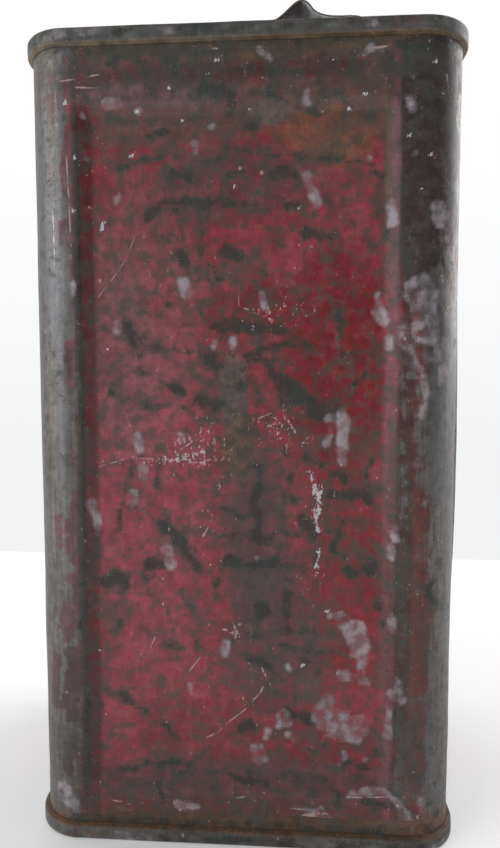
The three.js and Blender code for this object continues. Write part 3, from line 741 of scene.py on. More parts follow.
class WornFinish(Finish):
    """Paint over tinplate, with the wear that paint_points stored. Each method makes one layer."""

    def __init__(self, name):
        super().__init__(name)
        self.tone = self.attribute("tone")[0]
        wear, self.rust_field = self.attribute("wear")
        self.tin_field, self.grime_field, self.pale_field = self.split(wear)
        self.side, self.near, self.chipped = self.split(self.attribute("scratches")[0])
        self.fine = self.noise(0.9, detail=4, rough=0.7)
        self.broad = self.noise(5, detail=7, rough=0.7)
        self.patches = self.noise(13, detail=9, rough=0.68, shift=3)
        self.upright = self.noise(1.5, detail=5, rough=0.7, stretch=(1, 1, 7), shift=7)
        self.level = self.noise(2.2, detail=5, rough=0.6, stretch=(3, 3, 1), shift=11)
        self.dabs = self.noise(4, detail=3, rough=0.5, shift=17)
        self.grain = self.mixed(self.broad, self.fine)
        self.brushed = self.mixed(self.fine, self.upright)

    def ragged(self, field, noise, amount, soft):
        """Where the field, moved about by a noise, is over a half."""
        return self.ramp(self.moved(field, noise, amount), 0.5 - soft, 0.5 + soft, soft=True)

    def film(self):
        """A thin film of dirt, thicker near the grime."""
        field = self.math("ADD", self.grime_field, 0.1)
        return self.ragged(field, self.mixed(self.patches, self.dabs), 5, 0.45)

    def paint(self, film):
        """Mottled, with darker, dusty and filmed places of every size."""
        mottle = self.ramp(self.broad, 0.36, 0.64, 0.72, 1.24)
        streaks = self.ramp(self.brushed, 0.4, 0.6, 0.88, 1.12)
        colour = self.blend(1.0, self.tone, mottle, "MULTIPLY")
        colour = self.blend(1.0, colour, streaks, "MULTIPLY")
        colour = self.blend(self.math("MULTIPLY", film, 0.7), colour, FILM)
        dust = self.ramp(self.mixed(self.broad, self.level), 0.5, 0.62, 0, 0.18)
        colour = self.blend(dust, colour, DUST)
        return self.blend(self.ramp(self.grain, 0.48, 0.38, 0, 0.4), colour, FILM)

    def tin(self, film):
        """How bare the tin is, and its colour."""
        cloud = self.mixed(self.upright, self.broad, self.dabs)
        colour = self.blend(self.ramp(cloud, 0.41, 0.59), TIN_DARK, TIN_LIGHT)
        cool = self.noise(6, detail=3, stretch=(1, 1, 12), shift=29)
        colour = self.blend(self.ramp(cool, 0.48, 0.6, 0, 0.5), colour, TIN_COOL)
        colour = self.blend(self.math("MULTIPLY", film, 0.35), colour, FILM)
        return self.ragged(self.tin_field, cloud, 2.2, 0.16), colour

    def rust(self):
        colour = self.blend(self.ramp(self.fine, 0.38, 0.62), RUST_DARK, RUST_LIGHT)
        return self.ragged(self.rust_field, self.grain, 3.2, 0.12), colour

    def grime(self):
        """Dense in the middle of a stroke and broken round it. On the front it also draws the
        painted shade in the panel's creases.
        """
        core = self.moved(self.grime_field, self.mixed(self.dabs, self.fine, self.broad), 3.4)
        core = self.ramp(core, 0.4, 0.86, soft=True)
        field = self.math("SUBTRACT", self.grime_field, 0.1)
        around = self.ragged(field, self.mixed(self.dabs, self.broad, self.level), 5, 0.4)
        colour = self.blend(self.ramp(self.patches, 0.45, 0.55), GRIME_BROWN, GRIME_GREEN)
        return self.greatest(core, self.math("MULTIPLY", around, 0.66)), colour

    def pale(self):
        """Residue that lets some of the paint show through."""
        colour = self.blend(self.ramp(self.dabs, 0.4, 0.6), PALE_DARK, PALE_LIGHT)
        return self.ragged(self.pale_field, self.mixed(self.broad, self.dabs), 0.8, 0.2), colour

    def chips(self):
        """Crumbs, round spots and scratches down to the primer."""
        crumbs = self.noise(0.95, detail=3, rough=0.65, stretch=(1, 1, 1.5), shift=31)
        crumbs = self.moved(crumbs, self.mixed(self.broad, self.upright), 0.9)
        crumbs = self.ramp(self.math("MULTIPLY_ADD", self.chipped, 0.11, crumbs), 0.73, 0.755)
        spots = self.math("MULTIPLY", self.specks(7, 0.42, 0.095, (1, 1, 1.4), shift=5), 0.7)
        breaks = self.ramp(self.broad, 0.42, 0.6, -0.4, 1.3)
        line = self.math("ADD", self.math("ABSOLUTE", self.side), breaks)
        line = self.ramp(line, 0.5, 1.4, 0.75, 0)
        line = self.math("MULTIPLY", line, self.ramp(self.near, 0.4, 0.6))
        colour = self.blend(self.ramp(self.chipped, 1.0, 1.7), CHIP, PRIMER)
        return self.greatest(crumbs, spots, line), colour


def weathered(name, gloss):
    """Worn paint: each layer of wear lies over the ones before it."""
    m = WornFinish(name)
    film = m.film()
    tin, tin_colour = m.tin(film)
    rust, rust_colour = m.rust()
    grime, grime_colour = m.grime()
    pale, pale_colour = m.pale()
    chips, chip_colour = m.chips()
    grime_cover = m.ramp(m.brushed, 0.4, 0.6, 0.95, 0.72)
    pale_cover = m.ramp(m.mixed(m.upright, m.dabs), 0.4, 0.6, 0.5, 0.75)
    colour = m.blend(tin, m.paint(film), tin_colour)
    colour = m.blend(m.math("MULTIPLY", rust, 0.8), colour, rust_colour)
    colour = m.blend(m.math("MULTIPLY", grime, grime_cover), colour, grime_colour)
    colour = m.blend(m.math("MULTIPLY", pale, pale_cover), colour, pale_colour)
    colour = m.blend(m.math("MULTIPLY", chips, 0.7), colour, chip_colour)

    shine = m.math("SUBTRACT", tin, m.greatest(rust, grime, pale), clamp=True)
    dull = m.greatest(rust, pale, m.math("MULTIPLY", grime, 0.6))
    smoothest = m.ramp(m.grain, 0.4, 0.6, gloss, gloss + 0.15)
    roughness = m.math("MULTIPLY_ADD", dull, 0.3, smoothest)
    height = m.math("MULTIPLY_ADD", tin, -0.4, m.math("MULTIPLY", m.grain, 1.2))
    height = m.math("MULTIPLY_ADD", m.greatest(grime, rust), 0.35, height)
    height = m.math("MULTIPLY_ADD", m.greatest(pale, chips), 0.35, height)
    m.set(base_color=colour, metallic=m.math("MULTIPLY", shine, 0.75), roughness=roughness)
    m.shader.inputs["Specular IOR Level"].default_value = 0.3
    m.bump(height, 0.1)
    return m.material


def metal_finish(name, dark, light, metallic, roughness, rust=0.0):
    """Dull metal: cloudy, finely pitted, with rust in some of its hollows if there is any."""
    m = Finish(name)
    fine = m.noise(0.6, detail=4, rough=0.7)
    height = both = m.mixed(fine, m.noise(2, detail=5, rough=0.6, shift=5))
    colour = m.blend(m.ramp(both, 0.36, 0.64), dark, light)
    tarnish = m.ramp(m.noise(6, detail=4, shift=9), 0.48, 0.66, 0, 0.6)
    colour = m.blend(tarnish, colour, dark * 0.5)
    if rust:
        spread = m.noise(3.2, detail=6, rough=0.75, shift=13)
        rusty = m.ramp(spread, 0.62 - rust, 0.7 - rust)
        colour = m.blend(rusty, colour, m.blend(fine, RUST_DARK, RUST_LIGHT))
        height = m.math("MULTIPLY_ADD", rusty, 0.4, both)
        metallic = m.math("MULTIPLY_ADD", rusty, -metallic, metallic)
    m.set(base_color=colour, metallic=metallic)
    m.set(roughness=m.ramp(both, 0.3, 0.7, roughness, roughness + 0.25))
    m.bump(height, 0.08)
    return m.material


def compound_finish():
    m = Finish("sealing_compound")
    grain = m.noise(0.8, detail=4)
    m.set(base_color=m.blend(grain, linear("2a2622"), linear("4a443c")), roughness=0.85)
    m.bump(grain, 0.1)
    return m.material


def cork_finish():
    m = Finish("pressed_cork")
    granules = m.noise(1.6, detail=2, rough=0.4)
    pits = m.specks(2.2, 0.5, 0.3)
    colour = m.blend(m.ramp(granules, 0.35, 0.65), linear("7d5a38"), linear("c29a68"))
    m.set(base_color=m.blend(pits, colour, linear("4a3220")), roughness=0.9)
    m.bump(m.math("SUBTRACT", granules, pits), 0.15)
    return m.material


def paper_finish():
    m = Finish("waxed_paper")
    fibres = m.noise(0.7, detail=4, rough=0.7)
    oil = m.ramp(m.noise(7, detail=4, shift=4), 0.4, 0.65)
    colour = m.blend(fibres, linear("c8bc9c"), linear("ddd3b6"))
    m.set(base_color=m.blend(oil, colour, linear("8c744c")), roughness=m.ramp(oil, 0, 1, 0.6, 0.35))
    m.bump(fibres, 0.03)
    return m.material


# ---- Camera, stage and lights ----
def make_camera():
    data = bpy.data.cameras.new("camera")
    data.sensor_width = 36
    data.lens = LENS
    data.clip_start = 0.01
    camera = bpy.data.objects.new("camera", data)
    camera.location = Vector(CAMERA_PLACE) * MM
    camera.rotation_euler = (math.pi / 2 - CAMERA_DOWN, 0, CAMERA_LEFT)
    bpy.context.scene.collection.objects.link(camera)
    bpy.context.scene.camera = camera


def make_floor():
    mesh = bpy.data.meshes.new("floor")
    side, far = FLOOR_REACH, FLOOR_BEHIND
    corners = [(-side, -side, 0), (side, -side, 0), (side, far, 0), (-side, far, 0)]
    mesh.from_pydata(corners, [], [(0, 1, 2, 3)])
    floor = bpy.data.objects.new("floor", mesh)
    bpy.context.scene.collection.objects.link(floor)
    m = Finish("pale_floor")
    m.set(base_color=FLOOR, roughness=0.9, emission_color=FLOOR, emission_strength=FLOOR_GLOW)
    m.shader.inputs["Specular IOR Level"].default_value = 0.1
    floor.data.materials.append(m.material)


def make_surroundings():
    """White surroundings behind the can and a dimmer room in front. The camera itself sees an even
    backdrop."""
    world = bpy.data.worlds.new("studio")
    world.use_nodes = True
    nodes, links = world.node_tree.nodes, world.node_tree.links
    background = nodes["Background"]
    background.inputs["Color"].default_value = (*SURROUND, 1)
    direction = nodes.new("ShaderNodeSeparateXYZ")
    links.new(nodes.new("ShaderNodeTexCoord").outputs["Generated"], direction.inputs[0])
    strength = map_range(nodes, *ROOM_CHANGE, ROOM_FRONT, ROOM_BACK, soft=True)
    links.new(direction.outputs["Y"], strength.inputs[0])
    seen = map_range(nodes, *BACKDROP_RISE, *BACKDROP)
    links.new(direction.outputs["Z"], seen.inputs[0])
    choice = nodes.new("ShaderNodeMix")
    links.new(nodes.new("ShaderNodeLightPath").outputs["Is Camera Ray"], choice.inputs[0])
    links.new(strength.outputs[0], choice.inputs[2])
    links.new(seen.outputs[0], choice.inputs[3])
    links.new(choice.outputs[0], background.inputs["Strength"])
    bpy.context.scene.world = world
    bpy.context.scene.view_settings.view_transform = "Standard"


def add_lamp(name, place, target, size, power):
    data = bpy.data.lights.new(name, "AREA")
    data.shape = "SQUARE"
    data.size = size
    data.energy = power
    lamp = bpy.data.objects.new(name, data)
    lamp.location = place
    aim = Vector(target) - Vector(place)
    lamp.rotation_euler = aim.to_track_quat("-Z", "Y").to_euler()
    bpy.context.scene.collection.objects.link(lamp)


# ---- Body sheet ----
def face_axes(face, offset=0.0):
    """A face's outward normal, the direction along it, its half length and its distance. Face 0 is
    the front, and the others follow anticlockwise."""
    angle = (face - 1) * math.pi / 2
    normal = np.array([math.cos(angle), math.sin(angle)])
    along = np.array([-math.sin(angle), math.cos(angle)])
    half, distance = HALF_WIDTH + offset, HALF_DEPTH + offset
    return (normal, along, half, distance) if face % 2 == 0 else (normal, along, distance, half)


class Outline:
    """Stations round the body wall: place, outward normal, which face, and distance along it."""

    def __init__(self):
        self.place, self.normal, self.face, self.along = [], [], [], []
        for face in range(4):
            self.add_face(face)
            self.add_corner(face)
        self.place = np.array(self.place)
        self.normal = np.array(self.normal)
        self.face = np.array(self.face)[None, :]
        self.along = np.array(self.along)[None, :]
        steps = np.linalg.norm(np.diff(self.place, axis=0, append=self.place[:1]), axis=1)
        self.run = np.concatenate([[0], np.cumsum(steps)[:-1]])[None, :]
        self.half = np.where(self.face % 2 == 0, HALF_WIDTH, HALF_DEPTH)
        self.x = self.place[:, 0][None, :]
        self.front = (self.normal[:, 1] < -0.2)[None, :]  # with most of the corners beside it

    def add_station(self, place, normal, face, along):
        self.place.append(place)
        self.normal.append(normal)
        self.face.append(face)
        self.along.append(along)

    def add_face(self, face):
        normal, along, half, distance = face_axes(face)
        end = half - CORNER_RADIUS
        steps = FRONT_STEPS if face == 0 else OTHER_STEPS
        for s in spaced(-end, end, half - PANEL_MARGIN, *steps):
            self.add_station(normal * distance + along * s, normal, face, s)

    def add_corner(self, face):
        normal, along, half, distance = face_axes(face)
        centre = normal * (distance - CORNER_RADIUS) + along * (half - CORNER_RADIUS)
        steps = 18 if face in (0, 3) else 12  # the two corners beside the front are finer
        for step in range(1, steps):
            turn = step / steps * math.pi / 2
            outward = normal * math.cos(turn) + along * math.sin(turn)
            s = half - CORNER_RADIUS + CORNER_RADIUS * turn
            self.add_station(centre + CORNER_RADIUS * outward, outward, face, s)


def spaced(low, high, edge, coarse, fine):
    """Positions from low to high, closer together round the panel's sloped borders near +-edge. No
    coarse step reaches into a border, where it would cut the slope off."""
    room = 2 + abs(PANEL_SHIFT)
    inner, outer = edge - PANEL_SLOPE - room, edge + room
    stops = [low, -outer, -inner, inner, outer, high]
    places = [low]
    for start, stop, step in zip(stops, stops[1:], (coarse, fine, coarse, fine, coarse)):
        count = max(1, math.ceil((stop - start) / step))
        places += list(np.linspace(start, stop, count + 1)[1:])
    return places


def heights(coarse, fine):
    """Heights of the body's rows, closer together at the panels' top and bottom borders."""
    low, high = BODY_END - PANEL_MIDDLE, HEIGHT - BODY_END - PANEL_MIDDLE
    return PANEL_MIDDLE + np.array(spaced(low, high, PANEL_HALF, coarse, fine))[:, None]


def panel_distance(outline, z):
    """How far a place on the wall lies outside its panel's edge, negative inside."""
    a = np.abs(outline.along - PANEL_SHIFT) - (outline.half - PANEL_MARGIN - PANEL_RADIUS)
    b = np.abs(z - PANEL_MIDDLE) - (PANEL_HALF - PANEL_RADIUS)
    corner = np.hypot(np.maximum(a, 0), np.maximum(b, 0))
    return corner + np.minimum(np.maximum(a, b), 0) - PANEL_RADIUS


def wall_offset(outline, z):
    """How far the wall stands out from its flat outline: dents, ripples, panels and side seam."""
    face, along, run = outline.face, outline.along, outline.run
    total = 0.25 * layered_noise(run, z, 38, 11) + 0.05 * layered_noise(run, z, 7, 21)
    for which, s, height, reach_s, reach_z, out in DENTS:
        total = total + (face == which) * out * hump(along, s, reach_s) * hump(z, height, reach_z)
    from_end = np.minimum(z, HEIGHT - z)
    total = total * smooth(SEAM_HEIGHT, SEAM_HEIGHT + 12, from_end)
    total = total - PANEL_PRESS * ramp(-panel_distance(outline, z) / PANEL_SLOPE)
    half_fold = SEAM_FOLD_WIDTH / 2
    fold = smooth(half_fold + 0.3, half_fold - 0.3, np.abs(along + SEAM_FOLD_X))
    return total + SEAM_FOLD_RISE * (face == 2) * fold * smooth(8.5, 9.5, from_end)


def wall_points(outline, z, offset):
    flat = outline.place[None] + outline.normal[None] * offset[..., None]
    rows = np.broadcast_to(z, offset.shape)
    return np.concatenate([flat, rows[..., None]], axis=-1).reshape(-1, 3)


def wall_wear(outline, z):
    """The fields of tin, grime, pale residue and rust on the wall."""
    fields = even_wear(outline, z)
    fields = front_wear(outline, z, *fields)
    fields = strewn_wear(outline, z, *fields)
    return np.stack(fields, axis=-1).reshape(-1, 4)


def even_wear(outline, z):
    """Wear that all four faces share."""
    along, run, half = outline.along, outline.run, outline.half
    beyond = panel_distance(outline, z)
    from_end = np.minimum(z, HEIGHT - z)
    upright = layered_noise(run, z * 0.25, 7, 71)
    blotch = layered_noise(run, z, 15, 81)
    smudge = layered_noise(run, z, 6, 91)
    margin = smooth(-3, 2, beyond)
    corner = smooth(half - 14, half - 4, np.abs(along))
    edge = half - PANEL_MARGIN
    beside = smooth(edge - 3, edge + 3, np.abs(along - PANEL_SHIFT))

    tin = 0.2 + 0.08 * blotch + 0.08 * margin + beside * (0.26 + 0.16 * upright) + 0.26 * corner
    # Darker along both creases of every panel, and towards the ends.
    grime = 0.27 + 0.1 * smudge + 0.08 * blotch + 0.12 * hump(beyond, -PANEL_SLOPE - 0.5, 1.5)
    grime = grime + (0.06 + 0.2 * beside) * hump(beyond, 0.5, 1.2) + 0.1 * smooth(40, 14, from_end)
    grime = grime - 0.06 * beside
    pale = 0.14 + 0.12 * layered_noise(run, z * 0.5, 9, 97) + 0.05 * corner
    rust = 0.1 + 0.08 * smudge + 0.34 * hump(z, SEAM_HEIGHT + 1.5, 4)
    rust = rust + 0.2 * hump(HEIGHT - z, SEAM_HEIGHT + 1, 3)
    return tin, grime, pale, rust


def raised(field, where, other):
    """The field, and where it's asked for, the other one if that is higher."""
    return np.where(where, np.maximum(field, other), field)


def front_wear(outline, z, tin, grime, pale, rust):
    """Adds the marks listed for the front."""
    x, front = outline.x, outline.front
    tin = raised(tin + front * densest(x, z, TINNED), front, marked(x, z, BARE_AND_SHEEN_MARKS, 2.0))
    tin = np.where(front, tin - 0.5 * smooth(0.3, 0.8, marked(x, z, PAINT_LEFT, 1.5)), tin)
    # the grime here also takes the painted shade in the panel's creases
    grime = raised(grime + front * densest(x, z, DIRTIER_AND_SHADED), front, marked(x, z, GRIME_AND_SHADE_STROKES, 1.5))
    pale = raised(pale, front, marked(x, z, PALE_MARKS, 0.5))
    pale = raised(pale, front, np.minimum(marked(x, z, FAINT_MARKS, 1.4), 0.5))
    rust = rust + front * 0.45 * hump(x, 66, 14) * hump(z, 10, 4)
    return tin, grime, pale, rust


def strewn_wear(outline, z, tin, grime, pale, rust):
    """Adds smears and drips to the sides and the back."""
    along = outline.along
    for which in (1, 2, 3):
        here = (outline.face == which) & ~outline.front
        reach = face_axes(which)[2] - 8
        smears = random_marks(which, int(0.6 * reach), reach, (0.6, 2.8), (2, 18), level=0.85)
        drips = random_marks(which + 10, int(0.3 * reach), reach, (0.7, 2.2), (0, 6), level=0.1)
        grime = raised(grime, here, marked(along, z, smears, 1.6))
        pale = raised(pale, here, marked(along, z, drips, 0.7))
    return tin, grime, pale, rust


def wall_scratches(outline, z):
    """The side and nearness of scratches on the wall, and how thickly it's chipped."""
    x, front = outline.x, outline.front
    side, near = scratch_sides(x, z)
    chipped = 0.1 * layered_noise(outline.run, z, 18, 151) + front * densest(x, z, CHIPPED)
    chipped = chipped + front * 1.8 * smooth(0.4, 0.6, marked(x, z, STREAK, 0.8))
    chipped = chipped + front * 3 * smooth(0.45, 0.55, marked(x, z, SPLASHES, 0.3))
    return np.stack([side, near * front, chipped], axis=-1).reshape(-1, 3)


def wall_tone(outline, z):
    """The paint's colour over the wall, as it has faded and stained, with painted shade and light
    on the front's panel slopes and under its top seam.
    """
    shape = np.broadcast(outline.run, z).shape
    tone = np.broadcast_to(CRIMSON, (*shape, 3)).copy()

    def tint(amount, colour):
        tone[:] = tone * (1 - amount[..., None]) + colour * amount[..., None]

    cloud = layered_noise(outline.run, z, 32, 101)
    tint(smooth(0, 0.7, cloud) * 0.6, BRIGHT_RED)
    tint(smooth(0, 0.7, -cloud) * 0.6, DEEP_RED)
    x, front = outline.x, outline.front
    soft = 1 + 0.25 * layered_noise(x, z, 9, 111)
    # the front's tones, including the painted shade and light of the panel's slopes and under the
    # top seam
    for (x0, z0), (reach_x, reach_z), colour, strength in FRONT_TONES:
        square = ((x - x0) / reach_x) ** 2 + ((z - z0) / reach_z) ** 2
        tint(front * strength * smooth(1.6, 0.5, square * soft), colour)
    back = np.broadcast_to(~front, shape)
    end = smooth(26, 6, np.broadcast_to(np.minimum(z, HEIGHT - z), shape))
    tint(back * 0.45, MAROON)
    tint(back * smooth(0.1, 0.6, layered_noise(outline.run, z, 24, 121)) * 0.8, PURPLE_BROWN)
    tint(back * smooth(0.15, 0.6, layered_noise(outline.run, z, 19, 131)) * 0.7, DULL_BROWN)
    tint(back * end * 0.8, DULL_BROWN)
    tint(back * smooth(14, 4, z) * 0.9, RUST_BROWN)
    return tone.reshape(-1, 3)


def body_sheet():
    """The outer wall is fine, and the inner wall, which is hardly seen, has fewer rows."""
    outline = Outline()
    outer_z, inner_z = heights(*ROW_STEPS), heights(*INNER_ROW_STEPS)
    outer = wall_offset(outline, outer_z)
    inner = wall_offset(outline, inner_z) - SHEET
    points = [wall_points(outline, outer_z, outer), wall_points(outline, inner_z, inner)]
    rows, columns = outer.shape
    start = outer.size
    faces = grid_faces(rows, columns)
    faces += flipped_faces(grid_faces(len(inner), columns, start=start))
    outer_top, inner_top = start - columns, start + inner.size - columns
    for column in range(columns):
        after = (column + 1) % columns
        faces.append((after, column, start + column, start + after))
        faces.append((outer_top + column, outer_top + after, inner_top + after, inner_top + column))
    piece = add_piece(
        "body_sheet_worn", np.vstack(points), faces, "can", ["body_sheet"],
        weathered("worn_red_paint", gloss=0.4),
    )

    def with_inner(values, inside):
        """The outer wall's values, and one for the whole inner wall."""
        return np.vstack([values, np.tile(inside, (inner.size, 1))])

    tone = with_inner(wall_tone(outline, outer_z), DULL_BROWN)
    wear = with_inner(wall_wear(outline, outer_z), INNER_WEAR)
    paint_points(piece, tone, wear, with_inner(wall_scratches(outline, outer_z), UNSCRATCHED))


# ---- End plates ----
def body_outline(offset, face_columns=60, corner_columns=20):
    """The can's outline at an offset from the wall, anticlockwise from the front's left end."""
    radius = CORNER_RADIUS + offset
    points = []
    for face in range(4):
        normal, along, half, distance = face_axes(face, offset)
        for i in range(face_columns):
            s = (half - radius) * (2 * i / face_columns - 1)
            points.append(normal * distance + along * s)
        centre = normal * (distance - radius) + along * (half - radius)
        for i in range(corner_columns):
            turn = i / corner_columns * math.pi / 2
            points.append(centre + radius * (normal * math.cos(turn) + along * math.sin(turn)))
    return np.array(points)


def seam_profile():
    """The seam's outer surface as (offset from the wall, depth below the crest): from the end plate
    up the chuck wall, over the crest, down outside and under to the body."""
    inner = -SHEET - SEAM_GAP - SHEET
    profile = [(inner - 1.2, PLATE_DROP), (inner - 0.5, PLATE_DROP - 0.1)]
    profile += [(inner - 0.1, PLATE_DROP - 0.6)]
    profile += [(inner, depth) for depth in (3.8, 2.6, 1.5, 0.9)]
    half = (SEAM_OUT - inner) / 2
    middle = (SEAM_OUT + inner) / 2
    for step in range(1, 12):
        turn = math.pi * (1 - step / 12)
        out = math.copysign(abs(math.cos(turn)) ** 0.6, math.cos(turn))
        profile.append((middle + half * out, 0.9 * (1 - math.sin(turn) ** 0.8)))
    profile += [(SEAM_OUT - 0.02, 1.2), (SEAM_OUT, 2.2), (SEAM_OUT, 3.2), (SEAM_OUT - 0.05, 4.0)]
    for step in range(1, 7):
        turn = step / 6 * math.pi / 2
        profile.append((SEAM_OUT - 0.9 + 0.85 * math.cos(turn), 4.3 + 0.9 * math.sin(turn)))
    return profile + [(0.6, SEAM_HEIGHT + 0.1), (0.1, SEAM_HEIGHT + 0.5)]


def plate_rings(edge, centre, hole_radius):
    """Rings from a round hole out to the plate's edge. The plate sags a little here and there."""
    towards = edge - centre
    hole = centre + hole_radius * towards / np.linalg.norm(towards, axis=1)[:, None]
    rings = []
    for row in range(PLATE_ROWS):
        share = (row / PLATE_ROWS) ** 0.8
        flat = hole * (1 - share) + edge * share
        sag = 0.25 * layered_noise(flat[:, 0], flat[:, 1], 30, 5) * smooth(0, 0.2, share)
        rings.append(np.column_stack([flat, PLATE + sag * (1 - share)]))
    return rings


def end_sheet(name, centre, hole_radius, node, flipped):
    """An end: plate, recess wall and the seam's outer surface, as one sheet. It's made as the top,
    and `flipped` turns it into the bottom, whose hole is closed by a fan."""
    profile = seam_profile()
    rings = plate_rings(body_outline(profile[0][0]), np.array(centre), hole_radius)
    columns = len(rings[0])
    for offset, depth in profile:
        wobble = 0.12 * layered_noise(np.arange(columns), 0.0, 23, 41) * smooth(2, 0, depth)
        rings.append(np.column_stack([body_outline(offset), HEIGHT - depth - np.abs(wobble)]))
    points = np.concatenate(rings)
    # 1 on the seam's lower lip, where the plate is folded under
    lip = [0] * PLATE_ROWS + [smooth(4.4, 5.1, depth) * (offset > 0) for offset, depth in profile]
    lip = np.repeat(lip, columns)
    faces = flipped_faces(grid_faces(len(rings), columns))
    if flipped:
        points = np.vstack([points, [*centre, PLATE]])
        lip = np.append(lip, 0)
        faces += fan_faces(0, columns, len(points) - 1, upwards=True)
    tone, wear = end_tone(points, lip, flipped), end_wear(points, lip, flipped)
    if flipped:
        points[:, 2] = HEIGHT - points[:, 2]
        faces = flipped_faces(faces)
    finish = weathered(name + "_finish", gloss=0.45)
    piece = add_piece(name, points, faces, "can", [node], finish)
    paint_points(piece, tone, wear)
    give_thickness(piece, SHEET)


def end_wear(points, lip, flipped):
    """Wear on an end in its upright position: the seams are bare, grimy and rusty underneath."""
    x, y, z = points.T
    depth = HEIGHT - z
    seed = 200 if flipped else 130
    along = layered_noise(x + 0.6 * y, y - 0.6 * x, 12, seed)
    patch = layered_noise(x + 0.6 * y, y - 0.6 * x, 26, seed + 5)
    worn = layered_noise(x - y, x + y, 8, seed + 9)
    face = smooth(4.4, 3.4, depth)
    mottle = layered_noise(x - y, 2 * z, 4, seed + 3)
    rubbed = layered_noise(x - y, 2 * z, 6, seed + 7)
    tin = 0.62 + 0.15 * along - face * (0.06 - 0.5 * rubbed) - 0.6 * lip
    grime = 0.36 + 0.2 * patch + 0.12 * along + face * (0.1 + 0.8 * mottle)
    pale = 0.24 + 0.18 * worn + 0.24 * face * (worn + along)
    rust = 0.12 + 0.16 * along + 0.16 * (0.5 + patch) * smooth(4.5, 5, depth) * (1 - lip)
    if flipped:
        rust = rust + 0.16 + 0.24 * lip
        grime = grime + 0.14 * smooth(-60, 60, x)
        pale = pale + 0.14 * face * smooth(-10, -55, x)
    else:
        grime = grime + 0.2 * smooth(20, -70, x) - 0.05 * smooth(0, 60, x) - 0.3 * lip
        rust = rust + 0.2 * lip * smooth(0, 70, x)
    return np.column_stack([tin, grime, pale, rust])


def end_tone(points, lip, flipped):
    """The colour of the stained metal on an end: greenish, and brown or tan on the seam's lip."""
    lip = lip[:, None]
    x, y, z = (points[:, i : i + 1] for i in range(3))
    browner = 1 if flipped else np.clip(smooth(-50, 40, x) + 0.5 * layered_noise(x, y, 9, 7), 0, 1)
    redder = smooth(0.1, 0.5, layered_noise(x - y, z, 9, 17))
    face = GREY_GREEN * (1 - redder) + PURPLE_BROWN * redder
    return face * (1 - lip) + (TAN * (1 - browner) + RUST_BROWN * browner) * lip


# ---- Filler neck, cap and liner ----
def thread(angle, height, start, turns):
    """1 on the crest of a right-hand thread, fading to 0 at its foot and its ends."""
    best = np.zeros_like(angle)
    for lap in range(math.ceil(turns)):
        turned = lap + angle / (2 * math.pi)
        off = np.abs(height - start - THREAD_PITCH * turned)
        fade = smooth(0, 0.12, turned) * smooth(turns, turns - 0.12, turned)
        best = np.maximum(best, smooth(0.72, 0.2, off) * fade)
    return best


def filler_neck():
    bore, outer, flange = NECK_BORE, NECK_OUTER, NECK_FLANGE
    corners = [(bore, -1.5), (outer, -1.5), (outer, 0.3), (flange - 0.2, 0.3), (flange, 0.5)]
    corners += [(flange, 0.8), (flange - 0.2, 0.9), (outer + 0.5, 0.95), (outer + 0.1, 1.3)]
    profile = filled(corners, 1.2) + filled([(outer, 1.8), (outer, NECK_TOP - 0.5)], 0.25)
    profile += [(outer - 0.1, NECK_TOP - 0.2), (outer - 0.3, NECK_TOP), (bore + 0.3, NECK_TOP)]
    profile += filled([(bore + 0.1, NECK_TOP - 0.2), (bore, NECK_TOP - 0.5), (bore, -1)], 1.5)

    def shape(radius, angle, height):
        wall = (radius > outer - 0.05) & (radius < outer + 0.05) & (height > 2)
        return radius + wall * 0.9 * thread(angle, height, THREAD_START, 2), height

    finish = metal_finish("neck_tin", TIN_DARK, TIN_LIGHT, 0.85, 0.38, rust=0.06)
    ring_piece(
        "filler_neck_threaded", profile, FILLER, 120, "can", ["filler_neck"],
        finish, shape,
    )


def neck_solder():
    inner = NECK_FLANGE + 0.3
    outer = node_box("neck_solder")[1][0] - FILLER[0]
    profile = [(inner, 0.3), (outer - 0.3, 0.3), (outer, 0.36), (outer - 0.3, 0.5)]
    profile += [(outer - 0.9, 0.68), (inner + 0.4, 0.95), (inner, 1.1)]

    def shape(radius, angle, height):
        lumps = layered_noise(angle * 20, height * 0, 9, 301)
        spread = smooth(inner, outer, radius)
        return radius + 0.35 * spread * (lumps - 0.6), height + 0.12 * (height > 0.4) * lumps

    finish = metal_finish("neck_solder_grey", linear("6d6f70"), linear("a4a6a6"), 0.8, 0.42)
    ring_piece(
        "neck_solder_fillet", profile, FILLER, 160, "can", ["neck_solder"], finish, shape
    )


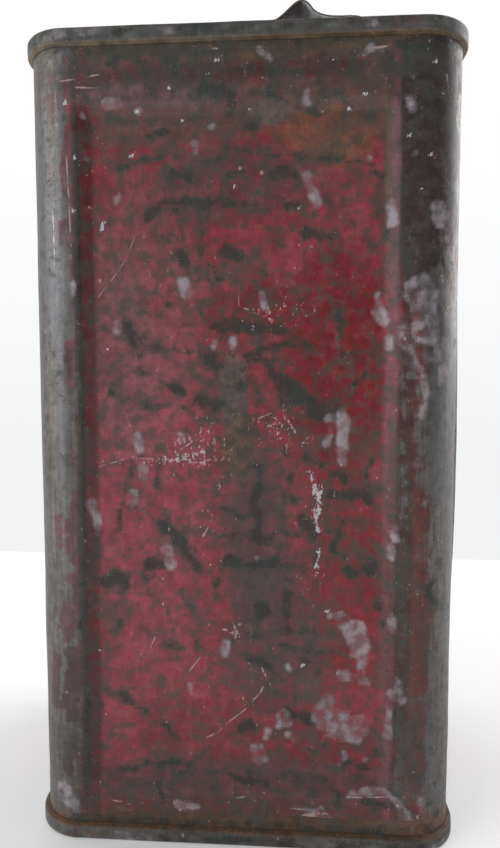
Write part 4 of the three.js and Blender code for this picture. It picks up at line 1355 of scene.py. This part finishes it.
def screw_cap():
    inside = CAP_TOP - 0.5
    corners = [(0, inside), (CAP_BORE - 0.6, inside), (CAP_BORE, inside - 0.6)]
    profile = filled(corners, 2.5)[:-1]
    profile += filled([(CAP_BORE, inside - 0.6), (CAP_BORE, CAP_BOTTOM + 0.3)], 0.3)
    profile += [(CAP_BORE + 0.1, CAP_BOTTOM + 0.05), (CAP_BORE + 0.35, CAP_BOTTOM)]
    profile += [(CAP_OUTER + 0.2, CAP_BOTTOM + 0.1), (CAP_OUTER + 0.4, CAP_BOTTOM + 0.5)]
    profile += [(CAP_OUTER + 0.25, CAP_BOTTOM + 0.95), (CAP_OUTER, CAP_BOTTOM + 1.2)]
    profile += filled([(CAP_OUTER, CAP_BOTTOM + 1.45), (CAP_OUTER, CAP_TOP - 1.6)], 0.4)
    shoulder = 1.3
    for step in range(6):
        turn = step / 5 * math.pi / 2
        radius = CAP_OUTER - shoulder * (1 - math.cos(turn))
        profile.append((radius, CAP_TOP - shoulder * (1 - math.sin(turn))))
    profile += [(14.4, CAP_TOP), (14.0, CAP_TOP - 0.12), (13.6, CAP_TOP - 0.35)]
    profile += [(13.2, CAP_TOP - 0.38), (12.8, CAP_TOP - 0.2), (12.3, CAP_TOP - 0.16)]
    profile += filled([(9, CAP_TOP - 0.14), (0, CAP_TOP - 0.1)], 2.0)

    def shape(radius, angle, height):
        inner = np.abs(radius - CAP_BORE) < 0.02
        radius = radius - inner * 1.4 * thread(angle, height, THREAD_START + 1.5, 1.5)
        skirt = (radius > CAP_OUTER - 0.02) & (radius < CAP_OUTER + 0.02)
        band = smooth(CAP_BOTTOM + 1.5, CAP_BOTTOM + 2.3, height)
        band = band * smooth(CAP_TOP - 1.9, CAP_TOP - 3.4, height)
        rib = smooth(-0.4, 0.5, np.cos(angle * KNURLS))
        return radius + skirt * (CAP_CREST - CAP_OUTER) * band * rib, height

    finish = metal_finish("cap_tin_dull", linear("6a665e"), linear("a09c92"), 0.85, 0.36, rust=0.05)
    turned_piece(
        "screw_cap_knurled", profile, FILLER, KNURLS * 8, "cap", ["screw_cap"],
        finish, shape,
    )


def disc(name, node, material, edge, ripple):
    """A round disc with softened edges and a slightly uneven face, in a CAD node's place."""
    low, high = node_box(node)
    radius, bottom, top = (high[0] - low[0]) / 2, low[2] - PLATE, high[2] - PLATE
    profile = filled([(0, bottom), (radius - edge, bottom)], 1.2)
    profile += [(radius, bottom + edge), (radius, top - edge)]
    profile += filled([(radius - edge, top), (0, top)], 1.2)

    def shape(r, angle, height):
        uneven = layered_noise(r * np.cos(angle) + 60, r * np.sin(angle) + 60, 3, 401)
        inwards = np.where(height > (bottom + top) / 2, -1, 1)
        return r, height + ripple * inwards * np.abs(uneven)

    turned_piece(name, profile, FILLER, 96, "liner", [node], material, shape)


# ---- Handle ----
def strap_line():
    """The strap's middle line in X and Z, sampled evenly. The heights are above its feet."""
    bend = 4.0
    corners = [
        (-FOOT_X, 0), (-LEG_X - bend, 0), (-LEG_X - 0.8, 0.8), (-LEG_X, bend),
        (-LEG_X, GRIP - 1 - bend), (-LEG_X + 0.8, GRIP - 2), (-LEG_X + bend, GRIP - 1),
        (-20, GRIP - 0.9), (4, GRIP - 0.1), (9.5, GRIP), (12.5, GRIP + 1.6), (18.2, GRIP + 7.0),
        (21, GRIP + 7.9), (23.2, GRIP + 6.6), (25.2, GRIP + 3.6), (28.4, GRIP + 1.8),
        (34, GRIP + 0.7), (LEG_X - bend, GRIP + 0.6), (LEG_X - 0.8, GRIP - 0.4),
        (LEG_X, GRIP + 0.6 - bend), (LEG_X, bend), (LEG_X + 0.8, 0.8), (LEG_X + bend, 0),
        (FOOT_X, 0),
    ]
    points = np.array(corners, float)
    for _ in range(3):  # each round cuts the corners off
        middle = (points[:-1] + points[1:]) / 2
        quarter = np.empty((2 * len(middle), 2))
        quarter[0::2] = points[:-1] * 0.75 + points[1:] * 0.25
        quarter[1::2] = points[:-1] * 0.25 + points[1:] * 0.75
        points = np.vstack([points[:1], quarter, points[-1:]])
    length = np.concatenate([[0], np.cumsum(np.linalg.norm(np.diff(points, axis=0), axis=1))])
    even = np.linspace(0, length[-1], 260)
    return np.column_stack([np.interp(even, length, points[:, i]) for i in (0, 1)])


def strap_section():
    """The strap's cross-section as (across, out of the strap): a thin web between two hems."""
    web, hem, bead = 0.28, 0.72, STRAP_HALF - 0.75
    upper = [(y, web) for y in np.linspace(-bead + 1.6, bead - 1.6, 12)]
    upper += [(bead - 1.1, web + 0.1), (bead - 0.7, web + 0.35)]
    for step in range(9):
        turn = math.radians(110 - 220 * step / 8)
        upper.append((bead + 0.72 * math.cos(turn), hem * math.sin(turn)))
    upper += [(bead - 0.7, -web - 0.35), (bead - 1.1, -web - 0.1)]
    lower = [(-y, -z) for y, z in upper]
    return np.array(upper + lower)


def strap_points(line, section):
    """The section swept along the line, a little crumpled where it's lifted off the plate."""
    tangent = np.gradient(line, axis=0)
    tangent /= np.linalg.norm(tangent, axis=1)[:, None]
    across, depth = section[:, 0][None, :], section[:, 1][None, :]
    x = line[:, :1] - tangent[:, 1:] * depth
    z = line[:, 1:] + tangent[:, :1] * depth
    y = np.broadcast_to(across, x.shape)
    lifted = smooth(8, 24, z)
    crumple = lifted * (0.35 * layered_noise(x, y, 14, 61) + 0.018 * y * np.sin(x / 11))
    points = [x, y + 0.3 * lifted * np.sin(x / 17), FOOT_MIDDLE + z + crumple]
    return np.stack(points, axis=-1).reshape(-1, 3)


def strap_wear(points, under):
    """The strap's paint and wear: bare hems, and a painted highlight on the underside right of the
    buckle, given as pale primer paint with little grime.
    """
    x, y, z = points.T
    patch = layered_noise(x, y + 3, 11, 501)
    hem = smooth(STRAP_HALF - 2.2, STRAP_HALF - 0.4, np.abs(y))
    # painted highlight: pale primer paint and little grime on the underside right of the buckle,
    # for the light that it catches
    painted_highlight_end = under * smooth(20, 22, x) * smooth(FOOT_MIDDLE + 20, FOOT_MIDDLE + 27, z)
    wear = np.column_stack([
        0.32 + 0.2 * hem + 0.2 * patch + 0.15 * hump(x, 20, 8) - 0.4 * painted_highlight_end,
        0.38 + 0.16 * layered_noise(x, y, 7, 511) - 0.35 * painted_highlight_end,
        0.2 + 0.1 * patch + 0.4 * painted_highlight_end,
        0.3 + 0.2 * layered_noise(x, y, 9, 521) - 0.3 * painted_highlight_end,
    ])
    painted_highlight_end = painted_highlight_end[:, None]
    return RED_BROWN * (1 - painted_highlight_end) + PRIMER * painted_highlight_end, wear


def handle_strap():
    line, section = strap_line(), strap_section()
    rows, columns = len(line), len(section)
    points = strap_points(line, section)
    points = np.vstack([points, points[:columns].mean(0), points[-columns:].mean(0)])
    piece = add_piece(
        "handle_strap_bent", points, capped_faces(rows, columns), "can", ["handle_strap"],
        weathered("worn_strap_paint", gloss=0.42),
    )
    under = np.append(np.tile(section[:, 1] < 0, rows), [False, False])
    paint_points(piece, *strap_wear(points, under))


def rivet(index):
    """A domed rivet, a little squashed by the hammer."""
    node = f"handle_rivet_{index}"
    low, high = node_box(node)
    x, y = (low + high)[:2] / 2
    bottom, top = low[2] - PLATE, high[2] - PLATE
    head = top - 1.2
    dome = top - head - 0.2
    profile = [(0, bottom), (1.6, bottom), (2.2, bottom + 0.25), (2.5, bottom + 0.8)]
    profile += [(RIVET_SHANK, bottom + 0.8), (RIVET_SHANK, head), (RIVET_HEAD - 0.25, head)]
    for step in range(8):
        turn = step / 8 * math.pi / 2
        profile.append((RIVET_HEAD * math.cos(turn), top - dome * (1 - math.sin(turn))))
    profile.append((0, top))

    def shape(radius, angle, height):
        squash = 0.05 * layered_noise(angle * 3, height, 3, 600 + index)
        return radius * (1 + squash * (height > head)), height

    turned_piece(
        f"{node}_domed", profile, (x, y, PLATE), 32, "can", [node], RIVET_FINISH, shape
    )


def solder_pad(node, seed):
    """The puddle of solder under and around a foot of the strap: a rounded oblong that rises at its
    rim and is level inside."""
    low, high = node_box(node)
    middle_x = (low[0] + high[0]) / 2
    half_x, half_y = (high[0] - low[0]) / 2 + 0.8, STRAP_HALF + 1.2
    bottom, top = low[2], high[2] + 0.12
    rows, columns = 9, 96
    inwards = np.arange(rows)[:, None] / rows
    angle = np.arange(columns)[None, :] * 2 * math.pi / columns
    across, up = np.cos(angle), np.sin(angle)
    reach = (1 - inwards) / (np.abs(across) ** 5 + np.abs(up) ** 5) ** 0.2
    reach = reach * (1 + 0.05 * layered_noise(angle * 15, inwards, 8, seed))
    height = np.broadcast_to(top - (top - bottom) * np.clip(1 - 4 * inwards, 0, 1), reach.shape)
    points = np.stack([middle_x + half_x * across * reach, half_y * up * reach, height], axis=-1)
    points = np.vstack([points.reshape(-1, 3), [(middle_x, 0, bottom), (middle_x, 0, top)]])
    faces = capped_faces(rows, columns)
    add_piece(f"{node}_puddle", points, faces, "can", [node], SOLDER_FINISH)


# ---- Build ----
make_camera()
make_floor()
make_surroundings()
for lamp in LAMPS:
    add_lamp(*lamp)

# Finishes that several pieces share
SOLDER_FINISH = metal_finish("dull_solder", linear("66686a"), linear("9c9e9f"), 0.8, 0.45)
RIVET_FINISH = metal_finish("rivet_tin", linear("5c5a56"), linear("94918b"), 0.85, 0.4, rust=0.06)
COMPOUND_FINISH = compound_finish()

body_sheet()
end_sheet("top_end_seamed", FILLER[:2], NECK_HOLE, "top_end", flipped=False)
end_sheet("bottom_end_seamed", (0, 0), CLOSED_HOLE, "bottom_end", flipped=True)
filler_neck()
neck_solder()
screw_cap()
disc("cork_liner_pressed", "cork_liner", cork_finish(), edge=0.25, ripple=0.06)
disc("liner_facing_waxed", "liner_facing", paper_finish(), edge=0.05, ripple=0.03)
handle_strap()
for number in range(1, 5):
    rivet(number)
solder_pad("handle_solder_left", 701)
solder_pad("handle_solder_right", 721)
for hidden, material in (
    ("side_seam_solder", SOLDER_FINISH),
    ("top_seam_compound", COMPOUND_FINISH),
    ("bottom_seam_compound", COMPOUND_FINISH),
):
    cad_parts[hidden].data.materials.clear()
    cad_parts[hidden].data.materials.append(material)
